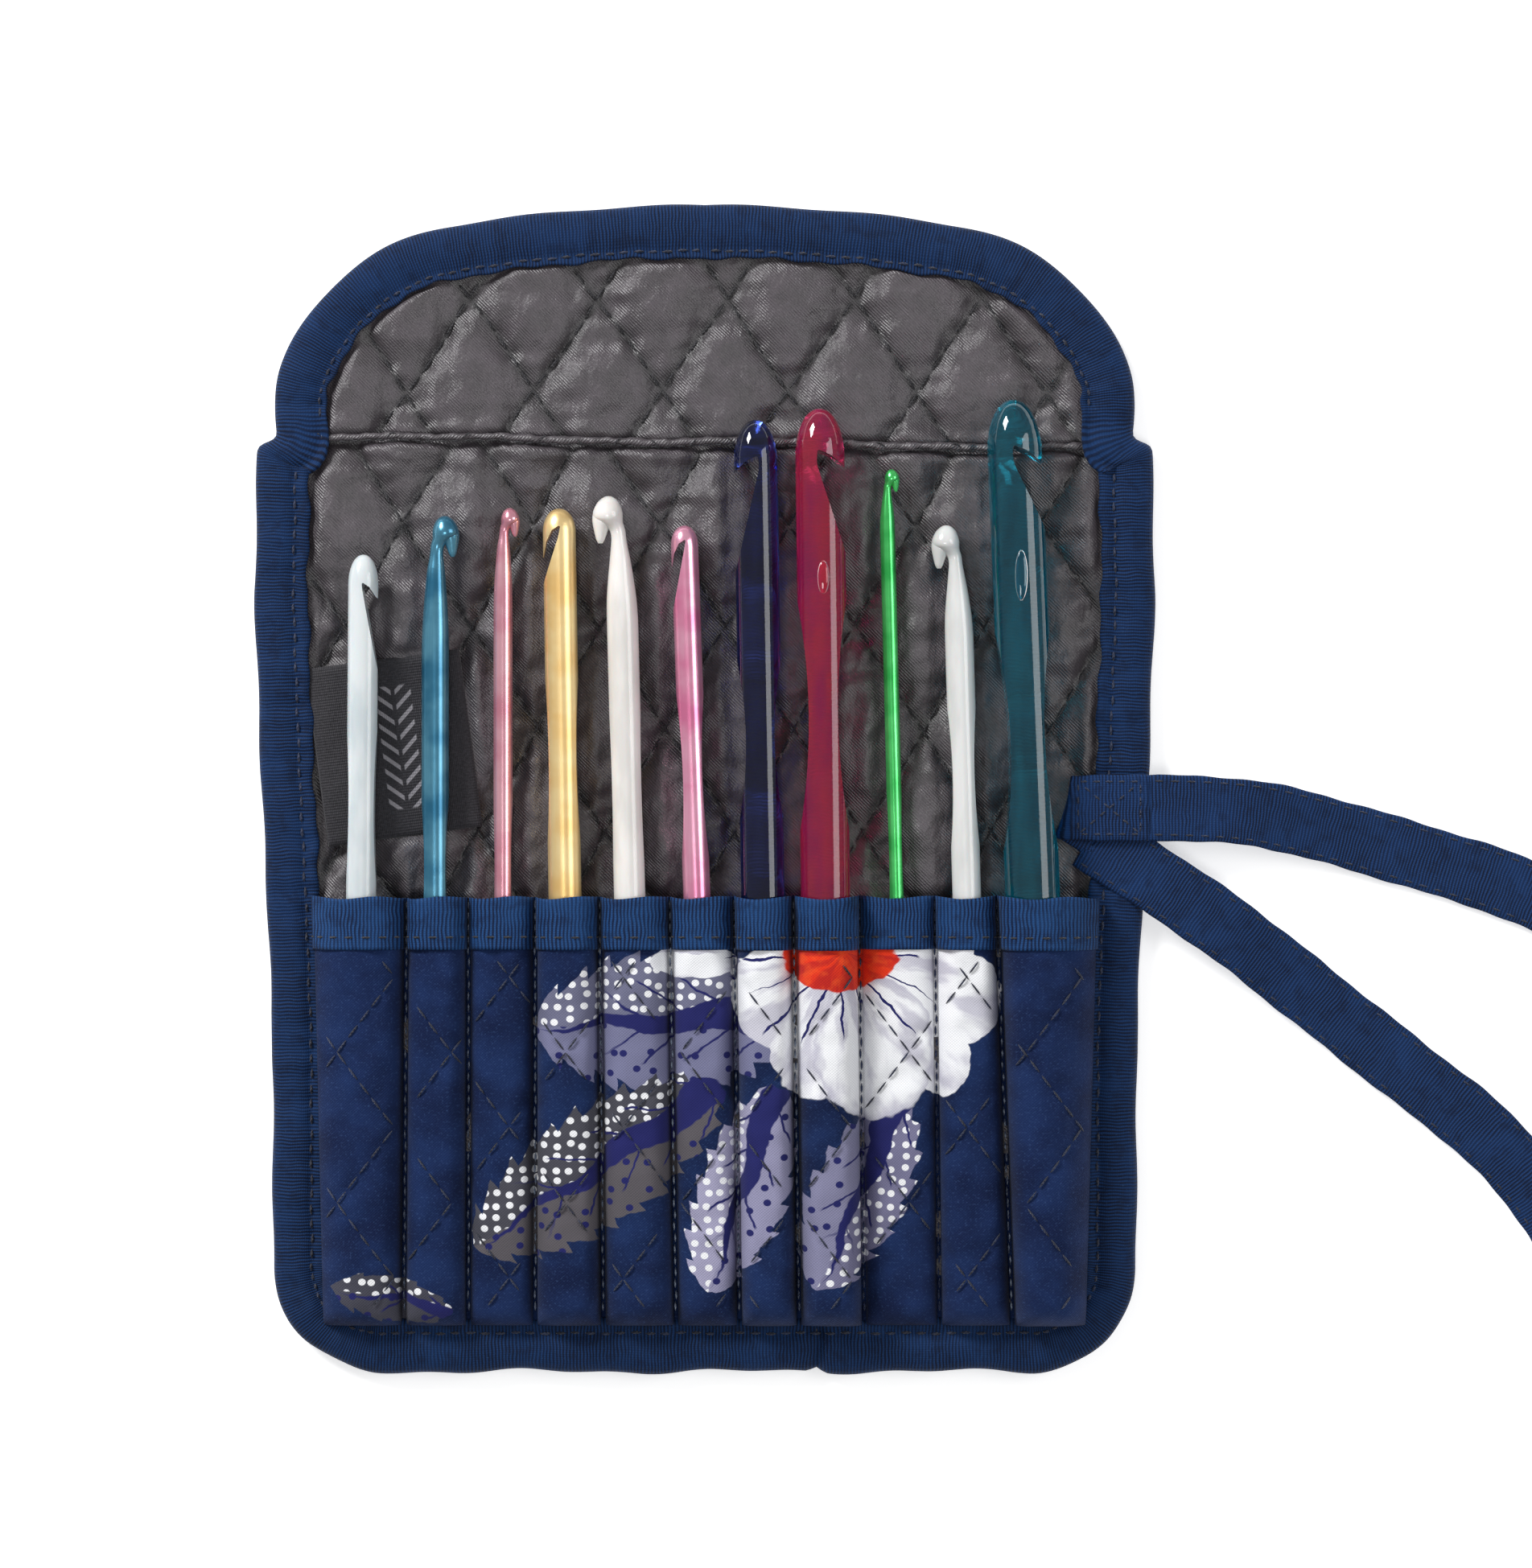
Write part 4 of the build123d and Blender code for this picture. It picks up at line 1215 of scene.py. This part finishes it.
def ties():
    fold_x = 66.3
    bend_x = fold_x + 0.9
    top = np.array([(x, ANCHOR_Y, 6.55) for x in np.linspace(81.4, bend_x, 14)])
    turns = np.linspace(0.3, np.pi, 8)
    bend = np.array([(bend_x - 0.75 * np.sin(t), ANCHOR_Y, 5.85 + 0.7 * np.cos(t)) for t in turns])
    away = np.array([21.0, -13.4]) / np.hypot(21.0, 13.4)
    low = np.array([(bend_x + away[0] * d, ANCHOR_Y + away[1] * d, 5.12) for d in np.linspace(0.6, 9.0, 8)])
    line = np.concatenate([top, bend, low])
    turn = np.concatenate([np.zeros(len(top)), np.linspace(0, 1, len(bend)), np.ones(len(low))])[:, None]
    across = (1 - turn) * np.array([0, -1.0, 0]) + turn * np.array([away[1], -away[0], 0])
    across /= np.linalg.norm(across, axis=1)[:, None]
    anchor, *_ = tape("tie_fold", line, TIE_WIDTH, TIE_THICK, LOOKS["tie_tape"], across)
    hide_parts("tie_anchor")
    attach(anchor, "case")
    box = [(68.2, -8.4), (79.6, -8.4), (79.6, 1.2), (68.2, 1.2)]
    corners = [box[k] for k in (0, 1, 2, 3, 0, 2, 1, 3)]  # round the box, then across it both ways
    runs = []
    for a, b in zip(corners, corners[1:]):
        a, b = np.array(a), np.array(b)
        far = np.linalg.norm(b - a)
        for d in np.arange(0.3, far - 1.7, 2.3):
            spots = a + (b - a) * ((d + np.linspace(0, 1.7, 4)) / far)[:, None]
            runs.append(np.column_stack([spots, 7.13 + STITCH_LIFT]))
    box_stitch = strand_mesh("tie_fold_stitches", runs, 0.16, LOOKS["navy_thread"])
    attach(box_stitch, "case")
    for name, node, points, pieces in (
        ("tie_tape_upper", "tie_upper", TIE_UPPER, [anchor, box_stitch]),
        ("tie_tape_lower", "tie_lower", TIE_LOWER, []),
    ):
        line = route_points(name + "_route", points)
        piece, reach, sides, up = tape(name, line, TIE_WIDTH, TIE_THICK, LOOKS["tie_tape"])
        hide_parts(node)
        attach(piece, "case")
        sewn = edge_stitches(name + "_stitches", line, reach, sides, up, TIE_THICK, (-4.9, 4.9))
        [c / 1000 for c in points[0]]


# ---- hooks ----


def hooks():
    looks = {
        "hook_01_white": plastic("plastic_white", srgb(214, 220, 222), srgb(192, 202, 206)),
        "hook_02_blue": metal("anodised_blue", srgb(98, 162, 188), srgb(44, 114, 148), 0.24),
        "hook_03_rose": metal("anodised_rose", srgb(248, 188, 200), srgb(228, 146, 166)),
        "hook_04_gold": metal("anodised_gold", srgb(255, 228, 168), srgb(244, 200, 126), 0.34),
        "hook_05_cream": plastic("plastic_cream", srgb(234, 231, 228), srgb(216, 213, 209)),
        "hook_06_magenta": metal("anodised_magenta", srgb(255, 186, 212), srgb(242, 134, 178)),
        "hook_07_blue_clear": acrylic("acrylic_blue", srgb(62, 84, 178), srgb(34, 52, 142), 0.97),
        "hook_08_purple_clear": acrylic("acrylic_purple", srgb(236, 62, 98), srgb(208, 42, 120), 0.8),
        "hook_09_green": metal("anodised_green", srgb(104, 236, 132), srgb(50, 190, 86)),
        "hook_10_pearl": plastic("plastic_pearl", srgb(220, 221, 220), srgb(204, 206, 205)),
        "hook_11_teal": acrylic("acrylic_teal", srgb(32, 176, 204), srgb(8, 134, 162), 0.92),
    }
    for name, material in looks.items():
        data = NODES[name].data
        data.materials.clear()
        data.materials.append(material)
    marks = (  # the oval moulding mark on two of the clear hooks
        ("gate_mark_purple", "hook_08_purple_clear", "acrylic_purple", (21.6, 38.2, 13.62), 6.2, 1.1),
        ("gate_mark_teal", "hook_11_teal", "acrylic_teal", (57.4, 38.5, 14.74), 9.2, 1.2),
    )
    for name, node, slot, (x, y, z), length, radius in marks:
        run = [(x, y + d * length / 2, z + 0.12 * (1 - d * d)) for d in np.linspace(-1, 1, 13)]
        mark = strand_mesh(name, [run], radius, looks[node], sides=14, flatten=0.45, blunt=2)
        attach(mark, node)


# ---- floor and light ----


def studio():
    data = bpy.data.meshes.new("floor")
    half = 2.5  # metres
    data.from_pydata([(-half, -half, 0), (half, -half, 0), (half, half, 0), (-half, half, 0)], [], [(0, 1, 2, 3)])
    floor = add_object("floor", data)
    floor.location.z = -0.0002
    paper = bpy.data.materials.new("floor_paper")
    paper.use_nodes = True
    shader = paper.node_tree.nodes["Principled BSDF"]
    shader.inputs["Base Color"].default_value = (0.93, 0.93, 0.93, 1)
    shader.inputs["Roughness"].default_value = 0.9
    shader.inputs["Emission Color"].default_value = (1, 1, 1, 1)
    shader.inputs["Emission Strength"].default_value = 0.45
    data.materials.append(paper)
    world = bpy.data.worlds.new("studio")
    world.use_nodes = True
    sky = world.node_tree.nodes["Background"]
    sky.inputs[0].default_value = (1, 1, 1, 1)
    sky.inputs[1].default_value = 0.3
    bpy.context.scene.world = world
    for name, place, size, power in (
        ("key", (-0.75, 0.85, 0.7), 0.42, 17.0),
        ("fill", (0.9, 0.2, 0.8), 0.6, 4.0),
        ("strip", (-0.1, -0.3, 1.3), 0.35, 3.0),
    ):
        light = bpy.data.lights.new(name, "AREA")
        light.energy, light.size = power, size
        lamp = add_object(name, light)
        lamp.location = place
        lamp.rotation_mode = "QUATERNION"
        lamp.rotation_quaternion = (-Vector(place)).to_track_quat("-Z", "Y")


LOOKS = {
    "lining_satin": satin(),
    "outer_cloth": plain_cotton("outer_cloth", srgb(12, 27, 64), srgb(25, 46, 92)),
    "printed_cotton": printed_cotton(),
    "binding_tape": ribbed("binding_tape", srgb(3, 15, 40), srgb(18, 52, 98)),
    "mouth_tape": ribbed("mouth_tape", srgb(4, 22, 54), srgb(30, 72, 124), depth=0.07),
    "tie_tape": ribbed("tie_tape", srgb(5, 18, 44), srgb(24, 58, 108)),
    "label_weave": woven_label(),
    "thread": thread_look("thread", srgb(18, 26, 48), srgb(36, 54, 92)),
    "navy_thread": thread_look("navy_thread", srgb(14, 20, 40), srgb(28, 42, 76)),
    "dark_thread": thread_look("dark_thread", srgb(16, 15, 22), srgb(34, 31, 40)),
    "specked_thread": thread_look("specked_thread", srgb(30, 46, 86), srgb(190, 206, 230)),
}

make_camera()
ties()
quilts()
binding()
fold_tuck()
lining_stitches()
pocket()
pocket_stitches()
label()
hooks()
studio()

bpy.context.scene.view_settings.view_transform = "Standard"
